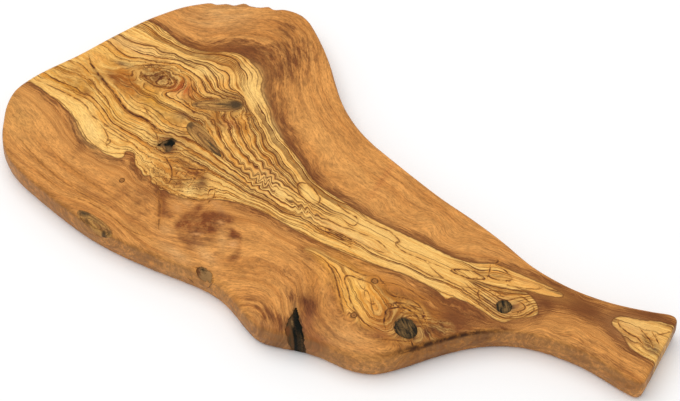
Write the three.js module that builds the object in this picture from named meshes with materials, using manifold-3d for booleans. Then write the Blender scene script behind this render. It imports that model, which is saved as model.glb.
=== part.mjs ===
// Olive-wood serving board: a live-edge plank with a waisted neck and a flared handle, and the dead
// knots and bark that grew into it, each a body of its own seated in a socket of the plank.
// Millimetres, +Z up, +X towards the handle. The origin is under the middle of the board.
import * as THREE from "three";
import { mergeVertices } from "three/addons/utils/BufferGeometryUtils.js";
import Module from "manifold-3d";

const wasm = await Module();
wasm.setup();

// Driving dimensions of the plank
const LENGTH = 452; // end of the blade to end of the handle
const THICKNESS = 20;
const FOOT_ARRIS = 2.4; // radius of the eased lower edge
const TOP_ARRIS = 3; // radius of the eased upper edge
const WALL_SWELL = 0.7; // how far the sanded wall stands proud at half height
const STEPS_PER_SPAN = 4; // outline steps between two points of the live edge
const FOOT_STEPS = 3; // steps round the eased lower edge
const TOP_STEPS = 4; // steps round the eased upper edge

// Driving dimensions of the grown-in bodies
const SEAT_GAP = 0.3; // between a body and its socket
const BARK_SINK = 0.4; // how far bark lies under the planed faces
const OVERSHOOT = 2; // how far a plug runs past a face before it is trimmed
const PLUG_STEPS = 36; // outline steps of a knot

// The live edge seen from above, anticlockwise from the sawn end of the handle.
const LIVE_EDGE = [
  // sawn end of the handle, with its eased corners
  [221.9, -33.9], [224.4, -31.8], [224.9, -26], [225, -7], [224.8, 11], [224.2, 17], [220.8, 18.9],
  // back of the handle and the long sweep up to the shoulder
  [209, 15.3], [197, 11.7], [185, 8.8], [174, 7.1], [162, 6.1], [151, 6.3], [139.6, 7.3], [129, 9.2],
  [107, 15.9], [84, 21.2], [61, 25.4], [38, 31.1], [15, 37.4], [3, 40.9], [-9.6, 45.9], [-21.3, 52.5],
  [-32.6, 61], [-44, 72.4], [-55.4, 84.6], [-67, 95.4], [-79.5, 105.2], [-87, 110], [-95, 112.4],
  // top of the blade, where bark stubs were left on the edge
  [-106.6, 110.7], [-113, 106.8], [-117, 107.2], [-122.5, 103.4], [-128.6, 101.4], [-133, 101.4],
  [-138.5, 96.3], [-143.4, 95.1], [-149.4, 91.2], [-153.4, 90.5], [-161, 84.9], [-168.8, 77.5],
  // sawn slant of the blade's end and its rounded lower corner
  [-177, 66.4], [-184.2, 54.9], [-195.4, 31.6], [-205.6, 7.8], [-211.2, -3.1], [-217, -14.4],
  [-221.8, -26.2], [-224.4, -38.5], [-221.8, -51], [-216.2, -62], [-209.4, -72.8], [-199, -83.2],
  // front of the blade
  [-186, -89.3], [-173, -92.8], [-148, -98.3], [-122.4, -102.4], [-97.7, -103.1], [-73.3, -101.8],
  [-48.2, -99.2], [-36, -98.9], [-24.3, -100.3], [-13, -104.3], [-2, -109.3], [9.4, -112.7],
  [20.9, -110.7], [33.5, -106.8], [45.6, -104.2], [57, -103.4], [68.5, -102.3], [80.9, -97.5],
  // waist of the neck and front of the handle
  [90.5, -88.8], [105.8, -70.4], [114, -61.3], [123, -52.7], [134.4, -44.4], [147.3, -37.8],
  [160, -34.1], [171, -32.4], [182.4, -31.5], [193, -31.7], [204, -32.9], [214.4, -34],
];

// Stretches where the eased edge has another radius: two soft rolls on the front, the sawn end of
// the handle, and the sharper edge that was left along the bark stubs.
const EDGE_ROLLS = [
  { at: [80, -96], reach: 26, radius: 6.5 },
  { at: [-20, -102], reach: 24, radius: 6 },
  { at: [222, -8], reach: 30, radius: 2 },
  { at: [-133, 100], reach: 34, radius: 0.8 },
];

const WOOD = new THREE.MeshStandardMaterial({ color: "#cf9550", roughness: 0.5, metalness: 0 });
const DARK_KNOT = new THREE.MeshStandardMaterial({ color: "#4b3826", roughness: 0.6, metalness: 0 });
const GREY_KNOT = new THREE.MeshStandardMaterial({ color: "#8d7149", roughness: 0.6, metalness: 0 });
const PIN_KNOT = new THREE.MeshStandardMaterial({ color: "#8a5a30", roughness: 0.55, metalness: 0 });
const BARK = new THREE.MeshStandardMaterial({ color: "#2b281d", roughness: 0.9, metalness: 0 });

// Points along a closed smooth curve through the given points, denser where these lie closer.
function smoothLoop(points, stepsPerSpan) {
  const corners = points.map(([x, y]) => new THREE.Vector3(x, y, 0));
  const curve = new THREE.CatmullRomCurve3(corners, true, "centripetal");
  const steps = points.length * stepsPerSpan;
  return Array.from({ length: steps }, (_, i) => {
    const p = curve.getPoint(i / steps);
    return new THREE.Vector2(p.x, p.y);
  });
}

// The loop brought to a length along X and centred on the origin.
function fitted(loop, length) {
  const box = new THREE.Box2().setFromPoints(loop);
  const centre = box.getCenter(new THREE.Vector2());
  const factor = length / (box.max.x - box.min.x);
  return loop.map((p) => p.clone().sub(centre).multiplyScalar(factor));
}

// Outward normals of an anticlockwise loop.
function outwardNormals(loop) {
  return loop.map((_, i) => {
    const before = loop[(i + loop.length - 1) % loop.length];
    const after = loop[(i + 1) % loop.length];
    return new THREE.Vector2(after.y - before.y, before.x - after.x).normalize();
  });
}

function offsetLoop(loop, distance) {
  const normals = outwardNormals(loop);
  return loop.map((p, i) => p.clone().addScaledVector(normals[i], distance));
}

// A closed skin over rings of equal count, each anticlockwise, listed from the lowest to the highest.
function loft(rings) {
  const count = rings[0].length;
  const position = rings.flat().flatMap((p) => [p.x, p.y, p.z]);
  const index = [];
  for (let r = 0; r + 1 < rings.length; r++) {
    for (let i = 0; i < count; i++) {
      const j = (i + 1) % count;
      const [a, b] = [r * count + i, r * count + j];
      const [c, d] = [a + count, b + count];
      index.push(a, b, d, a, d, c);
    }
  }
  const last = (rings.length - 1) * count;
  for (const [a, b, c] of THREE.ShapeUtils.triangulateShape(rings[0], [])) index.push(a, c, b);
  for (const [a, b, c] of THREE.ShapeUtils.triangulateShape(rings.at(-1), [])) {
    index.push(last + a, last + b, last + c);
  }
  const geometry = new THREE.BufferGeometry();
  geometry.setAttribute("position", new THREE.Float32BufferAttribute(position, 3));
  geometry.setIndex(index);
  return geometry;
}

function toSolid(geometry) {
  const merged = mergeVertices(geometry);
  return new wasm.Manifold(new wasm.Mesh({
    numProp: 3,
    vertProperties: merged.attributes.position.array,
    triVerts: Uint32Array.from(merged.index.array),
  }));
}

function toMesh(name, solid, material) {
  const { vertProperties, triVerts } = solid.getMesh();
  const geometry = new THREE.BufferGeometry();
  geometry.setAttribute("position", new THREE.BufferAttribute(vertProperties, 3));
  geometry.setIndex(new THREE.BufferAttribute(triVerts, 1));
  geometry.computeVertexNormals();
  const mesh = new THREE.Mesh(geometry, material);
  mesh.name = name;
  return mesh;
}

// Radius of the upper eased edge at a point of the outline.
function topArris(point) {
  return EDGE_ROLLS.reduce((sum, { at, reach, radius }) => {
    const distance = point.distanceTo(new THREE.Vector2(...at));
    return sum + (radius - TOP_ARRIS) * Math.exp(-((distance / reach) ** 2));
  }, TOP_ARRIS);
}

// The plank before its sockets are cut, with every face drawn in by sink.
function plank(outline, sink = 0) {
  const normals = outwardNormals(outline);
  const topRadii = outline.map(topArris);
  const footRadii = topRadii.map((radius) => Math.min(FOOT_ARRIS, radius));
  const ring = (inset, height) => outline.map((p, i) => {
    const q = p.clone().addScaledVector(normals[i], -inset(i) - sink);
    return new THREE.Vector3(q.x, q.y, height(i));
  });
  const rings = [];
  for (let step = 0; step <= FOOT_STEPS; step++) {
    const angle = (step / FOOT_STEPS) * (Math.PI / 2);
    const inset = (i) => footRadii[i] * (1 - Math.sin(angle));
    const height = (i) => sink + footRadii[i] * (1 - Math.cos(angle));
    rings.push(ring(inset, height));
  }
  rings.push(ring(() => -WALL_SWELL, () => THICKNESS / 2));
  for (let step = 0; step <= TOP_STEPS; step++) {
    const angle = (step / TOP_STEPS) * (Math.PI / 2);
    const inset = (i) => topRadii[i] * (1 - Math.cos(angle));
    const height = (i) => THICKNESS - sink - topRadii[i] * (1 - Math.sin(angle));
    rings.push(ring(inset, height));
  }
  return toSolid(loft(rings));
}

// An oval outline; skew draws its far end out to a tail.
function spindle({ at, halfLength, halfWidth, turn = 0, skew = 0 }) {
  const centre = new THREE.Vector2(...at);
  return Array.from({ length: PLUG_STEPS }, (_, i) => {
    const angle = (i / PLUG_STEPS) * 2 * Math.PI;
    const x = halfLength * Math.cos(angle);
    const y = halfWidth * Math.sin(angle) * (1 - skew * Math.cos(angle));
    const p = new THREE.Vector2(x, y).rotateAround(new THREE.Vector2(), THREE.MathUtils.degToRad(turn));
    return p.add(centre);
  });
}

// The body of a branch stub or bark seam: its outline shrinks by the taper's scales on the way down
// and shifts by lean for each millimetre of depth. grow makes the socket that it sits in.
function plug({ outline, depth, taper, lean = [0, 0] }, grow = 0) {
  const middle = outline.reduce((sum, p) => sum.add(p), new THREE.Vector2()).divideScalar(outline.length);
  const levels = [[-OVERSHOOT, 1], ...taper.map(([share, scale]) => [share * depth, scale])];
  const rings = levels.map(([down, scale], level) => {
    const shrunk = outline.map((p) => p.clone().sub(middle).multiplyScalar(scale).add(middle));
    const bottom = level === levels.length - 1;
    return offsetLoop(shrunk, grow).map((p) => new THREE.Vector3(
      p.x + lean[0] * Math.max(down, 0),
      p.y + lean[1] * Math.max(down, 0),
      THICKNESS - down - (bottom ? grow : 0),
    ));
  });
  return toSolid(loft(rings.reverse()));
}

const THROUGH = THICKNESS + OVERSHOOT;
const CONE = [[1, 0.62]]; // a branch stub that narrows towards the pith
const KEEL = [[0.5, 0.86], [1, 0.45]]; // a branch cut lengthwise, round underneath
const WEDGE = [[1, 0.55]]; // a seam of bark that closes towards the foot

const GROWN_IN = [
  {
    name: "handle_knot", material: DARK_KNOT, depth: THROUGH, taper: CONE, lean: [-0.18, 0.05],
    outline: spindle({ at: [130.5, -27.2], halfLength: 5.2, halfWidth: 4.9, turn: 40 }),
  },
  {
    name: "neck_knot", material: DARK_KNOT, depth: THROUGH, taper: CONE, lean: [-0.12, 0.16],
    outline: spindle({ at: [86.6, -70], halfLength: 8.2, halfWidth: 6.7, turn: -20, skew: 0.12 }),
  },
  {
    name: "upper_spike_knot", material: GREY_KNOT, depth: 11, taper: KEEL, lean: [0.2, 0.1],
    outline: spindle({ at: [-102.5, 17], halfLength: 17.5, halfWidth: 5.2, turn: 208, skew: 0.3 }),
  },
  {
    name: "lower_spike_knot", material: GREY_KNOT, depth: 10, taper: KEEL, lean: [0.2, 0],
    outline: spindle({ at: [-94, -10.8], halfLength: 18.5, halfWidth: 5, turn: -21, skew: 0.6 }),
  },
  {
    name: "rim_knot", material: GREY_KNOT, depth: 12, taper: KEEL, lean: [0.05, 0.25],
    outline: spindle({ at: [-118.2, -100.6], halfLength: 15.2, halfWidth: 4.3, turn: -9 }),
  },
  {
    name: "bark_pocket", material: BARK, depth: 9, taper: KEEL, sunk: true,
    outline: smoothLoop([
      [-118.6, -30.6], [-113.4, -28.6], [-108.8, -31.4], [-108.2, -25.4], [-109.8, -20.4],
      [-113.6, -20], [-115.2, -24],
    ], STEPS_PER_SPAN),
  },
  {
    name: "bark_cleft", material: BARK, depth: THROUGH, taper: WEDGE, lean: [0.2, 0], sunk: true,
    outline: smoothLoop([
      [20.4, -89.2], [21.6, -95], [22, -101], [25, -108.6], [30, -117], [42, -114], [36.4, -104.5],
      [30.6, -98.4], [25.2, -93],
    ], STEPS_PER_SPAN),
  },
  {
    name: "bark_patch", material: BARK, depth: 9, taper: KEEL, lean: [0, 0.2], sunk: true,
    outline: spindle({ at: [-38.5, -97.6], halfLength: 6.6, halfWidth: 3.4, turn: -12 }),
  },
  {
    name: "blade_pin_knot", material: PIN_KNOT, depth: 8, taper: CONE,
    outline: spindle({ at: [-121.8, -64.4], halfLength: 2.2, halfWidth: 1.7, turn: 80 }),
  },
  {
    name: "neck_pin_knot", material: PIN_KNOT, depth: 8, taper: CONE,
    outline: spindle({ at: [54, -50], halfLength: 2.4, halfWidth: 2, turn: 20 }),
  },
  {
    name: "belly_pin_knot", material: PIN_KNOT, depth: 8, taper: CONE,
    outline: spindle({ at: [55, -77.4], halfLength: 2.7, halfWidth: 2.1, turn: 70 }),
  },
];

const outline = fitted(smoothLoop(LIVE_EDGE, STEPS_PER_SPAN), LENGTH - 2 * WALL_SWELL);
const blank = plank(outline);
const sunkBlank = plank(outline, BARK_SINK);

const servingBoard = new THREE.Group();
servingBoard.name = "serving_board";
let board = blank;
for (const body of GROWN_IN) {
  board = board.subtract(plug(body, SEAT_GAP));
  const solid = plug(body).intersect(body.sunk ? sunkBlank : blank);
  servingBoard.add(toMesh(body.name, solid, body.material));
}
servingBoard.add(toMesh("board", board, WOOD));

export default servingBoard;
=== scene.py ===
"""Looks of the olive-wood serving board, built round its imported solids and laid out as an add-on."""
import math

import bpy
import numpy as np
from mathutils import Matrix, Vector, noise


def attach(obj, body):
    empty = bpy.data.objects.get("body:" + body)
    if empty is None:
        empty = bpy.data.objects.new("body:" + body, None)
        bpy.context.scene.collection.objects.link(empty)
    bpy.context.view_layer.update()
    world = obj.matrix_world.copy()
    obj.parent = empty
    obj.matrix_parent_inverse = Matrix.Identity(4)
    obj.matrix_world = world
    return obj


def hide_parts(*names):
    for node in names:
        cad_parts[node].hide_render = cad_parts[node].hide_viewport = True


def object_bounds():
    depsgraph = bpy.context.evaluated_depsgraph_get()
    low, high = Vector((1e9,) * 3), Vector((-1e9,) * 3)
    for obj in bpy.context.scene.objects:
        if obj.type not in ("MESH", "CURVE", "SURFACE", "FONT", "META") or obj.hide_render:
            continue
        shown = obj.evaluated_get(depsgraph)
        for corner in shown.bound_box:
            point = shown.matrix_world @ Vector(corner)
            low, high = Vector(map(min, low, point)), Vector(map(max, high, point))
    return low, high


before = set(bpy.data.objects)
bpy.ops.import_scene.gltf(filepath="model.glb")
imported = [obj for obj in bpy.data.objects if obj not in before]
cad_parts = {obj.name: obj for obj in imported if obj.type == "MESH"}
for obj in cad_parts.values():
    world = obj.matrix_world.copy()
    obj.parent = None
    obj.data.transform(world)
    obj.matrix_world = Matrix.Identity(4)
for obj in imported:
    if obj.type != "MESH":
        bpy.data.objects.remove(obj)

bl_info = {
    "name": "Olive serving board",
    "version": (1, 0, 0),
    "blender": (4, 5, 0),
    "location": "View3D > Sidebar > Board",
    "description": "Dresses the packed serving board: olive-wood figure, knots, bark and a stage",
    "category": "Object",
}

CAD_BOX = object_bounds()
BODY = "root"
MM = 0.001
SMOOTH_ANGLE = math.radians(40)
THICKNESS = (CAD_BOX[1].z - CAD_BOX[0].z)/MM
BARK = ["bark_pocket", "bark_cleft", "bark_patch"]
DARK_KNOTS = ["handle_knot", "neck_knot"]
GREY_KNOTS = ["upper_spike_knot", "lower_spike_knot", "rim_knot"]
PIN_KNOTS = ["blade_pin_knot", "neck_pin_knot", "belly_pin_knot"]
KNOTS = DARK_KNOTS + GREY_KNOTS + PIN_KNOTS
# While the plank gets its even mesh, grown copies close the gaps of its sockets, and it is wrapped
# on a shape in which the bark is grown a little less: growth in millimetres
FILLING = 0.5
BARK_COVER = 0.4
# Points of the cut plank that lie closer than this are merged, and flatter faces are dropped
NEAR_POINTS = 0.05
FLAT_FACES = 0.01
# Room under the foot, so that floor and foot don't share a plane
FLOOR_GAP = 0.1
# Bark and its sockets wander together along the board's edge: how far, and waves per millimetre,
# which are longer up and down
RAGGED = ((1.5, 0.26), (0.3, 0.8))
RAGGED_RISE = 0.4
EDGE_WAY = (0.96, 0.27)

# The figure of the wood is drawn on the upper face, in millimetres of the part's own frame.
# Growth layers lean as they go down, so walls and foot show it shifted, by this much per millimetre.
LAYER_LEAN = (0.25, 0.35)
# Depths under the upper face where the dark line of painted shade along the arris starts, is full, thins
# and ends
ARRIS = (0, 0.5, 1.6, 3.2)
# Upward part of the normal at which a face is all wall, and no wall any more
WALL_TILT = (0.35, 0.85)
# Depths under the upper face, and heights above the foot, between which carving fades out
CARVED_TOP = (1.0, 2.5)
CARVED_FOOT = (0.2, 0.8)
FOOT_SHARE = 0.5

# Outline of the pale heartwood, from the blade's end along the back edge, round the lens of the
# handle knot and back along the front edge
HEARTWOOD = [
    (-236, 58), (-183, 55.6), (-175, 55), (-165, 53.2), (-157, 50.8), (-150, 49.6), (-140, 50.3),
    (-135, 51.3), (-130, 53.5), (-125, 56.5), (-120, 59.3), (-115, 61), (-110, 61.2), (-105, 60.5),
    (-101, 58.6), (-96, 56.6), (-91, 53.6), (-87.4, 50.2), (-86, 46), (-83.5, 42), (-80, 38.3),
    (-75, 34.3), (-70, 30.6), (-66.5, 26), (-63, 22.3), (-58, 19), (-50, 14.3), (-42, 10.2), (-35, 7),
    (-28, 2.8), (-20, -2), (-12, -5.2), (0, -7.4), (15, -9.2), (30, -10.6), (50, -11), (70, -10.8),
    (85, -11), (95, -9.8), (103, -7), (108, -4), (112, -2.4), (120, -1.8), (130, -1.2), (140, -0.8),
    (150, -0.6), (156, -1.2), (158, -3.2), (153, -6), (146, -8), (138, -9.4), (130, -11), (125, -12.2),
    (131, -11), (138, -11.4), (143, -13), (147, -15.8), (149.6, -19.4), (149.8, -22.6), (147, -25.8),
    (142, -30), (138, -33.6), (135.4, -36.8), (131, -37.8),
    (125, -37), (118, -36), (110, -35.4), (105, -35.8), (100.5, -36.6), (98, -39.8), (95, -39),
    (90, -37.4), (85, -36.8), (75, -36.4), (65, -37), (55, -38.5), (45, -40), (35, -41), (20, -41.8),
    (5, -42.3), (-10, -41.8), (-20, -41), (-30, -40.7), (-40, -41), (-48, -42.3), (-55, -44),
    (-60, -46),
    (-66, -49.5), (-71, -53), (-76, -55), (-81, -56.6), (-86, -57), (-90, -57.6), (-94, -57),
    (-97, -58.4),
    (-100.5, -56.4), (-104.5, -56.6), (-107, -53.4), (-108.4, -52), (-110, -54), (-113, -54),
    (-116, -52),
    (-120, -50.8), (-123, -48.4), (-125, -45), (-127, -43.3), (-130, -43), (-132.8, -44.4),
    (-132, -46.6),
    (-131.6, -49), (-134, -51.2), (-138, -52), (-144, -52.4), (-150, -51), (-155, -50.8), (-160, -49.6),
    (-165, -47), (-170, -44), (-174, -41), (-178, -38.4), (-183, -36.3), (-190, -34.2), (-195, -32.3),
    (-205, -30.5), (-212, -29.2), (-220, -28.3), (-236, -27),
]
# Pale wood at the sawn end of the handle
HANDLE_END = [
    (191, -4.4), (193, 1.4), (200, 4.2), (207, 6.2), (212, 8.8), (220, 11), (236, 12), (236, -17.6),
    (224, -17), (215, -16.4), (208, -15), (204, -12.4), (200, -9.4), (195, -7.2),
]
# Golden wood swirling round the neck knot
NECK_SWIRL = [
    (6, -51), (15, -52.2), (24, -54), (30.4, -58.4), (36, -64), (41, -69.4), (45.4, -74.6), (51, -79),
    (61, -80.4),
    (71, -80.5), (79, -79), (87, -80), (94, -78), (99, -75), (104, -70), (109, -63), (112, -57),
    (108, -53.4), (103, -54.4), (98, -56),
    (93, -55), (86, -52),
    (78, -53), (70, -55.5), (64, -56), (58, -53), (52, -50.5), (40, -49.8), (25, -48.8), (12, -48.5),
]
# Growth lines, each with the number of the dark line that follows it. Lines 0 and 16 are the edges of
# the heartwood; the sapwood has the numbers below and above.
GROWTH_LINES = [
    (16, [(-188, 56), (-175, 55), (-157, 50.8), (-140, 50.3), (-130, 53.5), (-120, 59.3), (-111, 61.2),
          (-101, 58.6), (-91, 53.6), (-86, 46), (-80, 38.3), (-70, 30.6), (-63, 22.3), (-50, 14.3),
          (-35, 7), (-20, -2), (0, -7.4), (30, -10.6), (60, -11), (85, -11), (100, -8.2), (112, -2.6),
          (130, -1.2), (150, -0.6), (170, 0.5), (190, 3.5), (205, 8), (224, 13)]),
    (15, [(-186, 51.8), (-175, 50.3), (-167, 47.8), (-155, 46.8), (-145, 47), (-135, 49), (-127, 53),
          (-119, 56), (-112, 55.6), (-105, 52), (-99, 49), (-95, 43.5), (-90, 38), (-82, 33), (-74, 28),
          (-66, 21), (-55, 13.4), (-40, 6.6), (-22, -3), (0, -9.5), (30, -12.6), (70, -13.2),
          (100, -11)]),
    (13, [(-188, 44.6), (-178, 44.2), (-165, 43), (-150, 43), (-138, 43.2), (-129, 46.6), (-120, 47.6),
          (-111, 49), (-105, 45.6), (-101, 40.5), (-97, 36.3), (-88, 32), (-79, 25), (-68, 18),
          (-52, 7.5),
          (-35, -1), (-18, -9), (0, -13), (30, -15), (70, -16), (100, -15)]),
    (11, [(-192, 35.8), (-182, 34.7), (-173, 36.4), (-165, 38.8), (-150, 40), (-138, 39.8),
          (-128, 41.4),
          (-120, 39.2), (-114, 35.8), (-109, 30.6), (-101, 29), (-91, 30.6), (-85, 26.4), (-76, 19.4),
          (-64, 11.5), (-48, 1.8), (-32, -6.6), (-14, -14), (5, -17.5), (40, -18.5), (80, -18.5),
          (104, -19)]),
    (10, [(-193.5, 31), (-180, 29), (-168, 29), (-158, 31.5), (-148, 35), (-138, 36), (-128, 36),
          (-120, 32.6), (-114, 28.5), (-107, 26.4), (-98, 27.6), (-90, 28.8), (-84, 23), (-75, 14.5)]),
    (9, [(-195, 27.3), (-186, 24.2), (-177, 22.3), (-168, 24.6), (-160, 26.6), (-152, 30), (-142, 33.6),
         (-132, 32.6), (-123, 30.4), (-118, 26.4), (-113, 23.2), (-106, 24.6)]),
    (8, [(-198, 20), (-188, 18.6), (-176, 18), (-166, 20), (-158, 24), (-150, 27.6), (-141, 29),
         (-133, 28.6), (-127, 26), (-122, 21), (-117, 18.2), (-111, 19.4)]),
    (9.3, [(-88, 17), (-85, 16), (-80, 11), (-72, 4), (-64, -2), (-56, -6), (-48, -8.5), (-36, -12.5),
           (-24, -16),
           (-8, -19.2)]),
    (8.2, [(-93, 13.6), (-87, 9), (-80, 2), (-72, -3.5), (-62, -8), (-54, -11), (-44, -14.5),
           (-30, -18),
           (-12, -20.6)]),
    (7, [(-201, 11.5), (-191, 8), (-178, 7), (-165, 8.5), (-150, 8.6), (-136, 6.8), (-128, 7.2),
         (-121, 7),
         (-114, 5.6), (-106, 5.6), (-99, 5), (-93, 2), (-86, -3.5), (-79, -8.5), (-70, -13), (-58, -17),
         (-44, -19.4), (-28, -21), (-10, -22.2), (10, -23), (40, -23), (80, -22.6), (104, -22)]),
    (6, [(-204, 4.8), (-194, 3.2), (-186, 0.6), (-172, 2.6), (-158, 2.6), (-142, 2), (-132, 0),
         (-122, 0.5),
         (-114, 0.6), (-104, 0), (-97, -4.6), (-88, -10), (-78, -14.5), (-66, -19), (-50, -22),
         (-30, -24)]),
    (5, [(-207, 0), (-196, -0.4), (-185, -1.4), (-176, -4.6), (-167, -8.4), (-158, -13.2),
         (-148, -16.6),
         (-136, -16.4), (-126, -18.2), (-117, -17), (-110, -16.6), (-101, -15.2), (-90, -16.8),
         (-78, -19.4),
         (-60, -22.8), (-40, -25.4), (-20, -27.6), (5, -28), (40, -27.4), (80, -26.4), (106, -26)]),
    (4, [(-211, -7), (-200, -6.2), (-190, -6.4), (-183, -7.4), (-175, -12.6), (-165, -16.6),
         (-155, -22),
         (-142, -24), (-130, -23.6), (-122, -25.6), (-116, -21), (-106, -20.6), (-95, -21.6),
         (-75, -24),
         (-50, -28.6), (-25, -31), (5, -31), (40, -30.4), (80, -29)]),
    (3, [(-214, -17), (-200, -18), (-186, -18.2), (-174, -19), (-162, -24), (-150, -29.4),
         (-138, -30.8),
         (-126, -31.6), (-119, -32), (-112, -32.6), (-104, -28), (-90, -28), (-70, -29.8), (-45, -32.4),
         (-20, -34), (10, -33.6), (45, -33), (80, -31.6)]),
    (2, [(-217, -24.6), (-205, -24.2), (-190, -23.6), (-179, -24.2), (-168, -29), (-158, -34),
         (-146, -35.8), (-136, -36.2), (-126, -38.4), (-114, -39.4), (-100, -37.4), (-84, -36),
         (-65, -34.6), (-45, -35.8)]),
    (1, [(-200, -28), (-186, -30), (-176, -33.6), (-165, -38), (-155, -42), (-146, -44), (-136, -43),
         (-129, -41.4), (-121, -43.6), (-110, -46), (-98, -47.4), (-85, -46), (-72, -42), (-55, -38.6),
         (-30, -37.4), (0, -38.4), (40, -37), (80, -34.4), (105, -33.6)]),
    (0, [(-226, -27.6), (-212, -29.2), (-195, -32.3), (-183, -36.3), (-174, -41), (-165, -47),
         (-155, -50.8),
         (-143, -52.2), (-128, -47), (-112, -53.6), (-97, -58), (-82, -56.8), (-70, -52.5), (-60, -46),
         (-45, -41.8), (-25, -40.8), (0, -42.2), (20, -41.8), (45, -40), (65, -37), (85, -36.8),
         (105, -36),
         (120, -36.4), (135, -36.6), (146, -28), (156, -18.5), (170, -14), (185, -12.5), (205, -15.4),
         (224, -17)]),
    # sapwood along the back edge
    (18, [(-178, 63), (-162, 60), (-147, 61), (-133, 69), (-120, 77), (-105, 82), (-90, 79), (-78, 68),
          (-68, 52), (-57, 39), (-42, 28), (-22, 17), (0, 7.5), (30, 3), (65, 2.4), (95, 3.6),
          (125, 5)]),
    (20, [(-168, 75), (-145, 80), (-122, 95), (-100, 103), (-84, 97), (-68, 79), (-52, 59), (-32, 44),
          (-5, 30), (30, 22), (65, 15), (95, 11)]),
    # sapwood along the front edge
    (-2, [(-222, -40), (-205, -43.6), (-188, -50), (-168, -59), (-148, -62.5), (-125, -63), (-100, -67),
          (-80, -68), (-62, -60), (-40, -53), (-15, -52), (5, -53)]),
    (-4, [(-214, -61), (-198, -68), (-178, -75), (-155, -79), (-130, -81), (-105, -84), (-80, -86),
          (-55, -80), (-30, -70), (-8, -66)]),
    (-6, [(-196, -84), (-172, -89), (-150, -92.4), (-130, -91), (-108, -92), (-85, -97), (-60, -96)]),
    (-1, [(12, -46.6), (30, -45.6), (55, -43.4), (80, -42.4), (98, -44), (114, -44), (128, -42.4)]),
    (-2, [(10, -52), (25, -54.6), (36, -62), (46, -72.4), (56, -78.6), (70, -81.4), (84, -81)]),
    (-1.75, [(24, -52.6), (33, -56), (41, -62.5), (48, -69), (56, -75), (66, -78)]),
    (-1.5, [(34, -54), (42, -59), (50, -65.5), (58, -71.5), (67, -75)]),
    (-1.25, [(40, -52.6), (48, -56), (56, -61.5), (63, -67), (69, -71)]),
    (-3, [(30, -87), (45, -90), (60, -92), (78, -90)]),
    # handle
    (8, [(168, -6), (180, -5), (195, -3.4), (210, -3), (226, -2)]),
    (-2, [(150, -28), (165, -23), (185, -20.6), (205, -22.6), (226, -24.6)]),
    (-4, [(135, -44), (150, -37), (168, -32), (188, -30.6), (206, -33.5), (226, -36.6)]),
    (-6, [(150, -46), (168, -42), (188, -41.4), (206, -44.6), (226, -48.6)]),
    (18, [(140, 4.4), (165, 4), (190, 7), (212, 13.4), (226, 17)]),
]

# Lines added between the lines -1 and -2, which lie far apart in the swirl of the neck
SWIRL_LINES = 5

# Places where the layers close on themselves: middle, half length, half width, turn in degrees and
# the lines added in the middle
WHORLS = [
    ((-149, 17.4), 15, 7.4, 8, -2.2),
    ((-143, 15.6), 5, 3.4, 30, -1.4), ((-155, 19), 5, 3, -10, 1.2),
    ((131, -26), 17, 8.6, -4, 3),
    ((87, -69.5), 15, 12, -15, -3.6),
    ((7, -107), 24, 31, 0, -2.8),
    ((-118, -101), 24, 9, -9, -0.9),
    ((54, -50), 6, 4, 0, -1),
    ((55, -77.4), 6, 5, 60, -1),
]
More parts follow.
